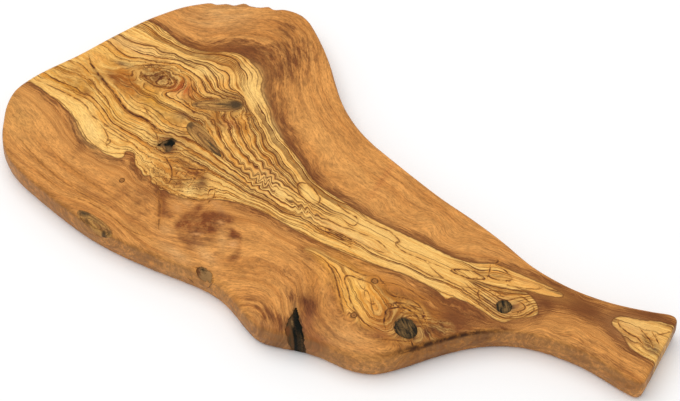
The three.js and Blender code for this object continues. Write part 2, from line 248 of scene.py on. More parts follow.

# Dark veins drawn one by one, and a line of painted shade along the neck's arris: width, strength and
# points. A vein that ends where it starts is closed.
VEINS_AND_SHADE_LINES = [
    # blade: the long black streak and the lines of the golden end
    (1.2, 1.1, [(-200.4, 11), (-195, 5.6), (-188, 1.4), (-181, -1.8), (-174, -5), (-165.6, -8.6),
                (-158, -12.6),
                (-151, -15.8), (-144, -16.8), (-138, -16), (-127, -18.2), (-120, -19.8)]),
    (0.7, 0.9, [(-208, 0.4), (-201, 1), (-194.6, -0.6), (-188, -3.4)]),
    (0.7, 0.9, [(-205, -9.4), (-199, -6.8), (-191, -6.6), (-184, -7.8), (-178, -11), (-167, -15.4),
                (-160, -22)]),
    (0.7, 0.9, [(-203, -15.6), (-194.6, -19), (-185, -19.6), (-177, -18)]),
    (0.8, 0.8, [(-217, -24.4), (-205, -24.4), (-190, -24.4), (-178, -25.6), (-168, -31), (-156, -32.8),
                (-142, -35.4), (-133, -36.6)]),
    (0.7, 0.8, [(-160, -34), (-153, -37.4), (-148.6, -41), (-147.4, -45), (-144, -48)]),
    (0.7, 0.8, [(-149, -40), (-146.4, -41.4), (-145.6, -44.4), (-147.4, -46)]),
    (0.7, 0.7, [(-186, 50), (-175, 49), (-162, 46), (-150, 46.4), (-138, 44.6)]),
    (0.7, 0.7, [(-191, 36), (-178, 34.6), (-166, 38.6), (-152, 40.6)]),
    (0.7, 0.7, [(-194, 27), (-184, 23.4), (-176, 22.4), (-166, 25), (-156, 29.6), (-146, 33.6)]),
    # round the burl eye and the red patch
    (1.2, 1.0, [(-168, 18), (-160, 23), (-152, 26.6), (-144, 28.6), (-137, 27.6)]),
    (0.8, 0.9, [(-137, 28.6), (-130, 27.4), (-125, 22), (-120, 19), (-114, 19)]),
    (0.8, 0.8, [(-163, 19), (-157, 22), (-149, 22.6), (-142, 20)]),
    (0.8, 0.8, [(-161, 12), (-154, 11), (-146, 10.4), (-140, 13), (-137.6, 18), (-139, 23)]),
    (0.7, 0.7, [(-170, 13), (-166, 8), (-160, 3.6), (-150, 2.4), (-138, 1)]),
    (0.7, 0.8, [(-150, -7), (-143, -8), (-137, -11.6), (-130, -14.4)]),
    # golden cells under the bark pocket
    (0.9, 1.0, [(-119.4, -31.6), (-107.4, -35.8), (-98, -43), (-94, -53.4)]),
    (0.9, 1.0, [(-100, -33.2), (-91, -35.4), (-81, -31.6), (-70, -30.6)]),
    (0.8, 0.9, [(-98.8, -49), (-90, -45.8), (-83.4, -40), (-79, -32.4)]),
    (0.8, 1.0, [(-93.4, -54.8), (-84, -54.8), (-75.6, -54.4), (-67.4, -50.6)]),
    (0.8, 1.0, [(-82.4, -48.4), (-82.4, -41.4), (-82, -37.4)]),
    (0.9, 1.1, [(-68, -47.4), (-69.4, -43), (-66, -39)]),
    (0.8, 0.9, [(-106.6, -55.2), (-104, -50.2), (-97.8, -50.2), (-94.4, -55.4)]),
    (0.7, 0.9, [(-104.6, -30.4), (-99.8, -24), (-90.4, -22.2), (-80, -23.6), (-69.4, -26.4)]),
    # round the spikes
    (0.8, 0.9, [(-120, 13), (-116, 8.4), (-112, 8), (-106, 10.4)]),
    (0.8, 0.9, [(-98, -13.4), (-90, -14.8), (-82, -17.6), (-76, -18.6), (-78, -14.4), (-86, -12.6)]),
    (0.7, 0.8, [(-103, 2), (-98, 6), (-94, 2), (-92, -1)]),
    (0.7, 0.8, [(-90, 12), (-85, 18), (-80, 20.6), (-76, 22)]),
    (0.8, 0.9, [(-119, -28), (-122, -24), (-127, -21), (-134, -19)]),
    (0.6, 0.9, [(-57, -26.4), (-53, -27.4), (-49.6, -27.6)]),
    (0.6, 0.9, [(-57, -28.6), (-53.6, -29.6), (-51, -29.6)]),
    # pale cells of the neck
    (0.7, 0.9, [(-23, -9.6), (-17, -7.6), (-10, -11), (-6, -13.4), (-4.8, -17), (-8, -19.6),
                (-18, -17.4),
                (-23, -13), (-23, -9.6)]),
    (0.7, 0.9, [(4, -8.6), (7, -12.6), (14, -14.2), (21, -15), (24, -18), (21.6, -21.6), (12, -19.6)]),
    (0.7, 0.8, [(20, -13.6), (34, -14), (44, -13.6), (50.6, -15.6), (53.6, -17.6), (51.6, -19),
                (54, -21.2),
                (60, -22.4), (74, -21.6), (90, -20)]),
    (0.6, 0.8, [(-12, -20.8), (0, -23.6), (14, -25.6), (26, -24), (40, -23.4), (48, -25.4), (51, -28),
                (46, -29.8), (38, -30.2)]),
    (0.7, 1.0, [(0, -33), (8, -31.2), (20, -30.6), (34, -31.4)]),
    (0.7, 1.0, [(1, -35.4), (10, -33.4), (20, -33), (33, -35)]),
    (0.6, 0.9, [(2, -37.4), (12, -35.8), (22, -35.6), (31, -36.6)]),
    (0.6, 0.8, [(54, -26), (66, -28), (80, -29.6), (96, -29.6), (108, -29), (118, -33.6),
                (126, -35.6)]),
    (0.6, 0.8, [(74, -22), (81, -25), (90, -27.4), (100, -27.4), (107, -25), (116, -21.6)]),
    (0.8, 1.0, [(90, -20), (96, -16), (103, -13.9), (111.4, -15), (106, -18.4), (98, -20.4),
                (90, -20)]),
    (0.8, 1.0, [(112, -3), (119, -3.4), (126, -7.4), (120, -11.2), (113, -12.4), (111, -8),
                (109.6, -4)]),
    (0.6, 0.8, [(125, -12.4), (134, -9.6), (141, -6.4), (144.4, -3.4), (140, -1.4)]),
    # lens of the handle knot
    (0.7, 0.9, [(112, -25), (120, -20), (132, -15.8), (141, -16), (146.4, -19), (146, -23.6),
                (140, -29.4),
                (134, -33.8), (127, -34), (117, -30.6), (112, -25)]),
    (0.6, 0.9, [(118, -25.4), (125, -21.4), (133, -19.4), (139.6, -19.6), (142, -22), (139, -26),
                (134.6, -30)]),
    # end of the handle
    (0.8, 1.0, [(193.4, -0.6), (196, -4), (203, -6.4), (209, -7), (214, -9.4)]),
    (0.9, 1.1, [(206, 1), (212, -2.4), (216, -4.6), (219.6, -8)]),
    (0.8, 1.0, [(214.6, 1.6), (218.6, -1.6), (222.6, -5)]),
    (0.7, 1.0, [(218, 0.8), (221, 3.6), (225, 8)]),
    (0.7, 0.8, [(207, -12.6), (214, -14), (221, -14.4)]),
    # neck swirl
    (0.9, 0.9, [(18, -51.6), (25, -54.4), (31, -59), (36.2, -64.6), (41, -70), (45, -75),
                (49.6, -79.4)]),
    (0.8, 0.9, [(60, -54.6), (53, -53), (45, -53.4), (37, -55), (39, -60), (44, -64.4), (46.6, -68),
                (52, -72.4), (57, -76), (64, -79), (71, -80)]),
    (0.7, 0.8, [(22, -49.4), (34, -49.8), (46, -49.8), (51, -47.2), (54.6, -46), (58, -48.2),
                (63, -50)]),
    (0.8, 0.8, [(58, -48), (66, -45.6), (76, -44.8), (84, -46.4), (90, -46)]),
    # rings and ripples round the neck knot
    (0.9, 1.0, [(88, -61.4), (84, -60.8), (79.6, -61.4), (76.6, -63.4)]),
    (0.9, 1.0, [(59, -50.6), (64.4, -53), (69, -53.8), (75, -52.4)]),
    (1.0, 1.1, [(95.6, -64.4), (92.4, -62), (89, -59.6), (85, -58.2), (78.8, -58), (73.4, -60.6),
                (70.4, -64.2),
                (71.4, -68.6), (73.4, -73), (77, -77)]),
    (0.9, 1.0, [(96.4, -61.2), (92, -57.8), (88.6, -55.6), (84, -54.6), (79.8, -54.6), (74.8, -56),
                (70, -59.2),
                (66.8, -62.2)]),
    (0.8, 0.9, [(71.6, -52.4), (76.4, -51.4), (80.8, -51), (86, -52), (90, -54.4), (94.4, -58.4)]),
    (0.8, 0.7, [(74.8, -85.6), (80, -82.4), (85, -80.2), (90, -78), (94, -75)]),
    (0.7, 0.7, [(52, -57), (57, -61.4), (62, -67.6), (67, -73)]),
    # cracks of the neck knot, and the dark line of painted shade along the arris of the neck
    (0.9, 1.2, [(92, -73), (94.6, -77), (98, -79.6)]),
    (1.0, 0.75, [(92, -85), (98, -78.4), (104, -71.6), (110, -64.6), (116, -58), (123, -51.4),
                 (132, -45.6),
                (142, -41)]),
    # dark strokes under the heartwood and in the front sapwood
    (1.2, 0.9, [(-66, -42), (-64.4, -47), (-65.4, -52.4)]),
    (1.4, 0.6, [(-97, -60), (-91, -68), (-86, -76), (-81, -84)]),
    (0.8, 0.9, [(-47.6, -96.6), (-44.6, -95.6), (-41.6, -94.4)]),
    (0.8, 1.3, [(-33.6, -95.4), (-31, -97.8)]),
    (0.7, 0.6, [(-150, -92.6), (-134, -89.4), (-114, -90), (-98, -93.6), (-80, -92)]),
    (0.9, 0.5, [(-198, -70), (-178, -77.6), (-158, -83), (-140, -85.4), (-120, -86)]),
    (0.8, 0.5, [(-188, -80), (-170, -86), (-152, -89.6)]),
    (0.8, 0.4, [(-180, -65), (-162, -71), (-142, -75), (-122, -78), (-100, -82)]),
    (1.3, 0.9, [(110.4, 1.6), (112.4, 0.2), (112, -2.4)]),
]
# How far a vein is felt, over how many steps its ends thin out, and how thin they get
VEIN_REACH = 2.4
VEIN_TAPER = 4
VEIN_TIP = 0.25

# Brown wood just outside the heartwood: place along the board and how far it reaches
BACK_BAND = [(-185, 5), (-165, 6), (-140, 13), (-110, 22), (-85, 29), (-60, 18), (-20, 12), (20, 9),
             (60, 8),
             (130, 7)]
FRONT_BAND = [(-220, 8), (-180, 10), (-120, 10), (-90, 8), (-75, 3), (-55, 4), (-40, 11), (0, 10),
              (50, 8), (90, 10),
              (120, 12), (140, 8)]
# The line that parts back from front, how brown the two bands are and how soon they start
MIDDLE_LINE = 8
BACK_BROWN = 0.78
FRONT_BROWN = 0.6
BAND_START = 1.15

# Brown wood in the sapwood: middle, half length, half width, turn and strength
BROWN_PATCHES = [
    # shoulder of the blade
    ((-88, 84), 22, 15, -35, 0.36), ((-84, 66), 12, 9, 0, 0.4), ((-97, 99), 9, 4, 20, 0.3),
    ((-74, 88), 9, 12, -40, 0.25),
    ((-112, 67), 22, 6, 22, 0.7), ((-72, 72), 12, 20, 35, 0.3),
    # front
    ((-58, -68), 20, 11, -15, 0.3), ((-59, -81), 9, 6, 0, 0.35), ((-100, -64), 16, 5, -8, 0.35),
    ((-96, -76), 6, 7, 0, 0.3),
    ((-160, -57), 4, 6, -20, 0.45), ((-40, -84), 4, 5, 0, 0.3),
    # round the bark cleft
    ((12, -103), 17, 5, -8, 0.75), ((24, -104), 6, 8, 20, 0.5),
    ((16, -85), 7, 6, 0, 0.5), ((31, -90), 5, 12, 25, 0.6), ((46, -106), 10, 5, 0, 0.5),
    ((3, -72), 10, 3, 8, 0.4),
    # neck and handle
    ((107, -47), 17, 12, 20, 0.85), ((103, -62), 12, 8, 50, 0.6), ((88, -43), 8, 4, 0, 0.5),
    ((172, -4), 22, 9, 0, 1.0), ((185, -28), 40, 9, 0, 0.3), ((152, -12), 8, 5, -30, 0.9),
    ((196, -12), 8, 3.5, -30, 0.8),
    ((208, 12), 20, 3.4, 18, 0.9), ((150, 3), 20, 3, 0, 0.6), ((128, -44), 14, 5, 25, 0.35),
]

# Brown flames in the front sapwood: strength and outline
FLAMES = [
    (0.95, [(-75, -75.4), (-73.6, -67.4), (-71, -60), (-68.4, -53.8), (-66.4, -56), (-65, -61),
            (-63, -57.6),
           (-57.8, -55), (-55.6, -52.6), (-51, -53), (-44.4, -52.8), (-43.4, -57), (-46.8, -59.8),
           (-46.6, -62.2), (-41, -60.4), (-35.6, -61), (-32.6, -64.6), (-37, -67), (-40, -67),
           (-41.8, -63),
           (-47.8, -65), (-48.6, -68.6), (-53.4, -72), (-60.8, -74.8), (-67.4, -77), (-71.6, -78.4)]),
    (0.6, [(-70, -81), (-66.6, -78), (-62.4, -76.6), (-56.6, -76.6), (-49, -72.4), (-47, -73),
           (-51.4, -79),
           (-50.6, -83.6), (-55.6, -87), (-61.4, -85.4), (-66, -83.8)]),
    (0.75, [(-32.6, -64.6), (-34, -66), (-31.6, -70), (-30.8, -74.6), (-32.4, -82.4), (-29.6, -82.4),
           (-25.8, -77), (-29, -72)]),
    (0.75, [(-99, -60), (-92, -56), (-88.8, -59.4), (-89.8, -63.4), (-83.4, -68.6), (-79, -68.6),
            (-79, -74),
            (-81, -74.4), (-83.4, -77.4), (-88, -76.4), (-91.4, -69)]),
    (0.45, [(-85.4, -80), (-82.8, -79.6), (-79, -86), (-82, -85.4)]),
    (0.4, [(-119.4, -67), (-113, -66), (-112, -72), (-114.6, -80), (-121.4, -81), (-119, -74)]),
    (0.35, [(-104, -84), (-97, -79), (-95, -85), (-100, -90)]),
    (0.35, [(-111, -64), (-101, -62), (-97, -70), (-103, -76), (-109, -71)]),
]
# Half the width of a flame's soft edge
FLAME_EDGE = 1.5

# Colours laid over the wood, stains and some painted light: middle, half length, half width, turn, colour
# and strength
PALE = "#FFD07C"
CREAM = "#EBBE80"
GOLD = "#D8992F"
AMBER = "#C67A2A"
RUST = "#B8602C"
UMBER = "#6F4522"
GREY = "#6B5A40"
BLACK = "#1E1C12"
CHESTNUT = "#743C10"
HONEY = "#E6AC5C"
STAINS_AND_PAINTED_LIGHT = [
    # blade
    ((-160, -42), 14, 5, -30, PALE, 0.8), ((-178, 32), 18, 5, 4, CREAM, 0.7),
    ((-150, 38), 14, 3.4, 6, PALE, 0.5),
    ((-118, 40), 12, 5, -8, PALE, 0.5), ((-92, 48), 6, 9, 40, PALE, 0.5),
    ((-190, 12), 14, 9, 10, GOLD, 0.6),
    ((-196, -12), 18, 9, 5, GOLD, 0.75), ((-165, 4), 14, 6, -40, AMBER, 0.6),
    ((-140, -2), 20, 8, -8, GOLD, 0.7),
    ((-149, 18), 15, 9, 8, UMBER, 0.6), ((-129, 17), 9, 7, 20, "#B4511E", 0.75),
    ((-139, -31), 8, 4, -10, AMBER, 0.5), ((-117, -2), 6, 4, 10, GREY, 0.65),
    ((-160, -20), 20, 5, -25, GOLD, 0.4),
    ((-92, 22), 6, 5, 20, UMBER, 0.6), ((-106, 5), 8, 4, 30, UMBER, 0.25),
    ((-100, -38), 14, 6, 0, AMBER, 0.45), ((-76, -43), 8, 4, 0, GREY, 0.35),
    ((-86, -36), 6, 3, 20, RUST, 0.5),
    ((-85, -27), 24, 6, -5, UMBER, 0.3),
    ((-118, 51), 20, 6, 0, AMBER, 0.5), ((-92, -46), 24, 9, 0, AMBER, 0.55),
    ((-88, -48), 16, 6, 10, UMBER, 0.3),
    ((-112, -27), 9, 7, 0, UMBER, 0.5), ((-96, 12), 20, 12, 20, UMBER, 0.12),
    ((-90, -34), 15, 3, -8, CHESTNUT, 0.7), ((-84.5, -36.4), 4, 2.2, 0, CHESTNUT, 0.6),
    ((-77, -40.6), 3.4, 5, 10, UMBER, 0.75), ((-90.4, -48), 6, 2.4, 20, CHESTNUT, 0.75),
    ((-80.6, -50.4), 4.4, 5.4, 0, PALE, 0.95), ((-72.4, -36), 4, 2, -20, HONEY, 0.8),
    ((-66.4, -41), 7, 3, -20, HONEY, 0.6), ((-98, -56), 5, 3, 0, CHESTNUT, 0.4),
    ((-80, 36), 13, 3.6, -45, PALE, 0.6), ((-61, 19), 14, 3.4, -38, PALE, 0.55),
    ((-100, 53), 8, 5, -20, PALE, 0.5),
    ((-93, 5), 14, 5, 15, CHESTNUT, 0.6), ((-148, 17), 9, 5, 8, CHESTNUT, 0.5),
    ((-86, 8), 5, 4, 0, RUST, 0.5), ((-107, -16), 10, 3, -20, CHESTNUT, 0.5),
    ((-116, -22), 5, 6, 30, CHESTNUT, 0.6),
    ((-118, 13), 6, 3, 20, CHESTNUT, 0.5), ((-130, -6), 14, 4, -12, CHESTNUT, 0.3),
    ((-171, 3), 14, 4.4, -5, "#A05A1A", 0.8), ((-88, 36), 14, 4, -45, PALE, 0.8),
    ((-126, 36.4), 8, 3, 0, PALE, 0.8),
    ((-183, 32), 12, 4, 0, HONEY, 0.6), ((-160, 37), 10, 3, 5, HONEY, 0.5),
    ((-41, -18), 16, 8, -30, CREAM, 0.3),
    ((-195, -10), 14, 7, 5, AMBER, 0.6), ((-192, -17), 14, 6, -5, "#C8862C", 0.6),
    ((-180, -3), 9, 2.2, -22, "#55301A", 0.95), ((-146, -16.4), 8, 1.6, 0, "#5A3012", 0.85),
    ((-175, 15.6), 8, 2, 12, GREY, 0.85), ((-193, 11), 10, 6, 10, "#E4A250", 0.85),
    ((-160, 2), 16, 5, -30, "#A45C18", 0.8), ((-174, 1.6), 8, 2.2, -35, "#8A4E1A", 0.7),
    ((-200, -4.2), 5, 4, 20, "#B4742C", 0.75), ((-202, -13.6), 6, 4, 0, "#BC7830", 0.7),
    ((-193, -13), 7, 4, 0, "#A86E22", 0.75), ((-182, -17.6), 3.4, 4, 0, "#9A5C22", 0.75),
    ((-162.4, -26), 5, 4, -25, "#F4B04E", 0.7), ((-166, -40), 12, 5, -38, PALE, 0.6),
    ((-196, -27), 22, 3, -12, PALE, 0.5),
    # neck
    ((-12, -13), 10, 4, -10, GOLD, 0.35), ((40, -17), 40, 4, 0, PALE, 0.6),
    ((75, -33), 26, 3, 3, PALE, 0.5),
    ((20, -28), 26, 3, 0, CREAM, 0.4), ((135, -5), 18, 3.4, 6, GOLD, 0.4),
    ((131, -26), 15, 7.6, -4, "#CC8C48", 0.7), ((136, -23.4), 9, 4.4, 12, "#A06A38", 0.75),
    # swirl
    ((56, -62), 34, 15, -20, "#F8A83A", 0.6), ((46, -63), 12, 4, -48, "#FFC964", 0.6),
    ((67, -64), 12, 9, -50, "#DC8628", 0.8),
    ((74, -60.6), 7, 3.6, -20, CHESTNUT, 0.8), ((71.6, -76.6), 6, 5, 0, "#AE6630", 0.65),
    ((74, -66), 5, 10, 0, UMBER, 0.45), ((70, -48), 24, 3.6, 5, "#B06A2C", 0.75),
    ((87, -60), 10, 5, -30, GOLD, 0.6),
    ((66, -53.4), 7, 2.8, -5, "#5C300C", 0.85),
    ((27, -55), 13, 2.6, -16, "#FFB24C", 0.9), ((36.6, -60), 3.4, 6, 42, "#F2A648", 0.7),
    ((54, -78.4), 5, 3.6, 0, "#DE9448", 0.8), ((36.4, -72), 8, 4, -45, "#9A5C2C", 0.5),
    ((44, -81), 8, 4, -40, "#9A5C2C", 0.45),
    ((67.4, -73), 5, 4, 0, "#D88C38", 0.6), ((51, -51), 6, 1.6, 0, "#DE9440", 0.7),
    ((60.4, -59), 5, 4, 0, "#F4A644", 0.7),
    ((53, -63.6), 4, 2, -45, AMBER, 0.7), ((77, -51), 6, 2.4, -10, UMBER, 0.6),
    ((78, -78), 6, 4, 0, RUST, 0.5),
    ((92.4, -57.6), 6, 1.8, -48, "#EEB05C", 0.9), ((70, -66), 3, 7, -20, "#C07832", 0.6),
    ((98, -56), 5, 9, 20, AMBER, 0.4), ((105, -61), 15, 8, 50, "#7C451F", 0.95),
    # round the bark cleft, the bark pocket and the dark knots, and pale cells of the neck
    ((22, -91.6), 4, 1.0, -60, BLACK, 1.1), ((25, -97), 4, 2.4, -40, BLACK, 1.0),
    ((33, -102), 13, 1.6, -48, BLACK, 1.1),
    ((27, -104), 7, 5, -50, UMBER, 0.8), ((-112, -25.6), 5.4, 5, 0, UMBER, 0.9),
    ((-117, -29), 2.4, 2.4, 0, BLACK, 0.9),
    ((-110, -30), 1.8, 2.2, 0, BLACK, 0.9), ((87, -68.6), 19, 14, -20, "#A8661E", 0.9),
    ((86.6, -70), 12, 10, -20, "#8A5A30", 0.8),
    ((130.5, -27.2), 7.4, 6.6, 0, "#9E6C40", 0.75),
    ((96.5, -68), 4, 4, 0, "#7A4A24", 0.95), ((98.6, -65.8), 3, 1.2, -42, "#542A10", 0.95),
    ((100.3, -62.2), 3.4, 1.2, -38, "#542A10", 0.95), ((103.4, -60.8), 3, 1.2, -36, "#542A10", 0.9),
    ((104.4, -57.8), 3, 1.2, -35, "#542A10", 0.9), ((72.2, -65), 2, 5, -20, "#7E4620", 0.6),
    ((76, -82), 6, 2, 20, "#8C4F24", 0.6), ((-29, -23), 6, 2.2, -10, PALE, 0.85),
    ((-14, -14), 8, 3.4, -20, "#FFCE78", 0.9), ((-22.6, -11.6), 3.4, 2, -30, CHESTNUT, 0.8),
    ((91.6, -73.6), 4, 3, -30, "#2A2014", 0.9),
    ((80.6, -65.6), 4, 2.2, 40, "#4A2C12", 0.7), ((134.4, -24.8), 2.4, 1.4, -40, "#2A2014", 0.8),
    ((127, -29.8), 2.2, 1.6, 20, "#2A2014", 0.7),
    ((26, -84), 6, 4, -20, "#62300E", 1.1), ((31, -90), 4, 10, 18, "#6C3612", 1.1),
    ((34, -95), 4, 7, 20, "#A06236", 0.7),
    ((45, -103), 9, 5, -10, "#8A4C26", 0.8), ((13, -111), 9, 3.4, 10, "#8A5430", 0.75),
    ((20.4, -89.6), 0.8, 4, 18, "#5A3418", 0.9),
    # sapwood
    # the first two are painted light, lightening the sapwood along the back edge
    ((-12, 22), 56, 12, -27, "#EBA95C", 0.45), ((60, 4), 40, 8, -8, "#EBA95C", 0.4),
    ((21, 17), 2, 18, 0, RUST, 0.3), ((-140, 84), 24, 12, 32, CREAM, 0.3),
    ((60, -93), 16, 9, 10, CREAM, 0.2),
    ((-208, -54), 20, 14, -30, HONEY, 0.35), ((-42.4, -71), 7, 3, -55, "#E2A866", 0.65),
    ((-50.2, -60.4), 2.2, 1.6, 0, "#D99A5C", 0.8), ((-58.4, -75), 3.4, 0.8, 30, "#DE9E62", 0.8),
    ((-77, -82.6), 6, 4, 0, "#E0A868", 0.5), ((-35, -70.4), 2.6, 2.6, 0, "#E4A56A", 0.6),
    ((-45, -85.4), 10, 4, -20, "#E8AE6C", 0.6), ((-62, -94), 12, 4, -10, "#DDA86C", 0.5),
    ((-80, -64.6), 4, 2.4, -25, "#E0A262", 0.5),
    ((-60, -50.6), 9, 2.4, -20, "#D2965A", 0.5), ((-76, -59), 4, 2.4, -20, "#D2965A", 0.5),
    # end of the handle and the pale tongue before it
    ((206, -3), 16, 9, 5, "#D2965A", 0.6), ((221, -9.6), 4, 3.6, 40, GREY, 0.75),
    ((216, -6.4), 5, 3.6, -35, "#8A5A2A", 0.8),
    ((213.4, -5), 3.6, 1.2, -38, "#4A2A12", 0.9), ((206, 2), 9, 2.6, 15, PALE, 0.5),
    ((204, -10), 8, 2, -32, "#9A6434", 0.6),
    ((136, -5), 20, 4, 4, "#F4AC58", 0.85),
]

# Dark line of painted shade along the arris: middle, half length, half width, turn and strength
ARRIS_SHADES = [((109, -63), 34, 12, 46, 1.0), ((-110, -96), 90, 16, -12, 0.3),
           ((190, -42), 40, 12, -8, 0.3)]

# How many of the growth lines show: middle, half length, half width, turn and the share there
LINE_SHARES = [
    ((-170, 0), 50, 60, 0, 0.6), ((-160, 2), 18, 9, -10, 0.2), ((-152, 40), 28, 6, 0, 0.3),
    ((-90, 10), 40, 45, 0, 1.0), ((-50, -15), 40, 25, -25, 1.0),
    ((60, -20), 60, 14, 0, 0.12), ((-92, -46), 26, 10, 0, 0.95), ((-40, 5), 26, 6, -35, 0.5),
    ((-115, 44), 20, 14, 0, 0.7),
    ((131, -26), 20, 12, 0, 0.55), ((212, -5), 16, 12, 0, 0.35), ((60, -64), 34, 18, 0, 0.3),
    ((92, -67), 20, 13, 0, 0.3),
    ((-192, -26), 34, 5, -14, 0.15), ((-168, -38), 14, 7, -36, 0.15), ((-190, 3), 14, 7, 0, 0.3),
    ((-85, 41), 22, 6, -45, 0.45), ((-56, 15), 22, 4, -36, 0.35), ((216, -3), 24, 14, 0, 0.1),
    ((-88, 36), 18, 5, -45, 0.2),
    ((-126, 36.4), 9, 4, 0, 0.25), ((-183, 31), 14, 6, 0, 0.25), ((138, -5), 20, 5, 0, 0.2),
    ((-191, 7), 14, 9, 0, 0.06), ((-196, -14), 14, 7, 0, 0.2),
    ((136.6, -24.6), 8, 5.4, 12, 0.06), ((-29, -23), 7, 3, -10, 0.2), ((-14, -14), 9, 4, -20, 0.08),
]

# Where the layers curl up small: middle, half length, half width, turn and how far they wander
CURLS = [
    ((-147, 18), 20, 11, 8, 3.2), ((-95, 12), 22, 16, 20, 2.0), ((-94, -44), 30, 13, 0, 3.2),
    ((-45, -20), 30, 14, -20, 0.6), ((-190, -12), 18, 12, 0, 1.2), ((104, -55), 14, 16, 0, 2.0),
    ((80, -66), 26, 14, 0, 1.2), ((215, -5), 12, 9, 0, 1.6), ((-115, -28), 14, 10, 0, 1.6),
    ((-85, 85), 22, 24, 0, 0.9), ((5, -75), 30, 10, 0, 2.0),
]
CALM = 0.5
# Share of the growth lines that show where nothing else is said
USUAL_SHARE = 0.5
# Patches reach their own value well inside their rim
PATCH_FILL = 1.4

# Where the layers run zig-zag: middle, half length, half width, turn, length and height of one zig
ZIGZAGS = [
    ((-45, -18), 11, 8, -24, 6.4, 3.6), ((-12, -26), 12, 4.5, -6, 6.4, 2.4),
    ((-62, -14), 14, 8, -32, 8, 1.0),
    ((48, -66), 14, 5, -48, 9, 0.8), ((92, -58), 9, 7, -50, 6, 1.4),
]

# A zig-zag slants and wanders by two waves: reach and waves per millimetre. Its height is a mean
# with a swing, which swells along and across it.
ZIG_SLANT = 0.6
ZIG_WANDER_ACROSS = (1.3, 0.5)
ZIG_WANDER_ALONG = (0.9, 0.4)
ZIG_HEIGHT = (0.85, 0.3)
ZIG_SWELL = (0.23, -0.2)

# Between two growth lines lie finer ones: this many to a layer
FINE_LINES = 3.0
HAIR_LINES = 9.0

# Middle, half length, half width and turn of each knot on the upper face
KNOT_OVALS = {
    "handle_knot": ((130.5, -27.2), 5.2, 4.9, 0), "neck_knot": ((86.6, -70), 8.2, 6.7, -20),
    "upper_spike_knot": ((-102.5, 17), 17.5, 5.2, 28), "lower_spike_knot": ((-94, -10.8), 18.5, 5.0, -21),
    "rim_knot": ((-118.2, -100.6), 15.2, 4.3, -9), "blade_pin_knot": ((-121.8, -64.4), 1.8, 1.8, 0),
    "neck_pin_knot": ((54, -50), 2.4, 2.2, 0), "belly_pin_knot": ((55, -77.4), 2.2, 2.2, 0),
}
# Direction of the open grain in the dark knots and of the furrows in the bark, and how worn that is
CRACK_TURN = {"handle_knot": -52, "neck_knot": -38}
BARK_TURN = {"bark_pocket": 80, "bark_cleft": -52, "bark_patch": -20}
BARK_WEAR = {"bark_pocket": 0.35, "bark_cleft": 0.1, "bark_patch": 0.9}
# Bark that gives way to brown wood, and its pale streaks: middle, half length, half width, turn
# and strength
BARK_WOOD = [((25, -106.6), 4, 3, -40, 0.9), ((-44, -97.6), 4, 3, -20, 0.7)]
BARK_STREAKS = [((25.8, -100.4), 2.8, 0.7, -50, 0.9), ((34.6, -104.8), 3.2, 0.6, -45, 0.7)]
# Dark places in grey knots and bark: middle, half length, half width, turn and strength
DARK_SPOTS = [
    ((28.4, -99.4), 12, 2.6, -50, 0.8), ((30, -98.6), 12, 0.9, -48, 1.0),
    ((31, -106.4), 6, 0.9, -45, 0.9),
    ((38, -112), 5, 2, -40, 0.9), ((-112.4, -23.6), 2.0, 3.6, 0, 1.0),
    ((-109.8, -24), 1.3, 2.8, 0, 0.9),
    ((-117.4, -29.4), 1.4, 2.0, 0, 1.0), ((-114, -26.6), 1.4, 1.2, 0, 0.7),
    ((-40, -96), 5, 1.4, -22, 0.35),
    ((-41, -95), 3, 0.8, 10, 0.4),
    ((-91.6, 23.6), 5.4, 4.2, 20, 1.0), ((-97, 20.4), 7, 3, 28, 0.5), ((-116, 9.4), 3, 2, 30, 0.4),
    ((-101, 18.8), 3.4, 0.6, 25, 0.8), ((-109, -5.4), 3.4, 5, 0, 0.7), ((-87, -12.4), 9, 0.9, -18, 0.9),
    ((-84, -15.8), 8, 0.9, -19, 0.9), ((-78.6, -16.6), 2.6, 1.2, -20, 0.9),
    ((-98, -10.6), 7, 0.6, -22, 0.5),
    ((-128.6, -97.6), 4.4, 2.2, -10, 0.8), ((-126, -96), 2.2, 1.4, 0, 0.6),
    ((-119, -98.4), 6, 1.8, -8, 0.45),
    ((-109.4, -103), 2.2, 1.8, -30, 0.9), ((-106, -101.6), 1.4, 2.4, 30, 0.6),
    ((-123, -101.4), 3, 1, -14, 0.6),
]


def paint(code):
    """Linear colour of a hex code."""
    values = [int(code[i:i + 2], 16)/255 for i in (1, 3, 5)]
    return tuple(v/12.92 if v <= 0.04045 else ((v + 0.055)/1.055)**2.4 for v in values)


def colour_setting(name, description, code):
    """A colour that a user can change."""
    return bpy.props.FloatVectorProperty(
        name=name, description=description, subtype="COLOR", size=3, min=0, max=1, default=paint(code))


def length_setting(name, description, millimetres):
    """A length that a user can change, shown in the scene's unit."""
    return bpy.props.FloatProperty(
        name=name, description=description, subtype="DISTANCE", unit="LENGTH", precision=5,
        default=millimetres*MM)


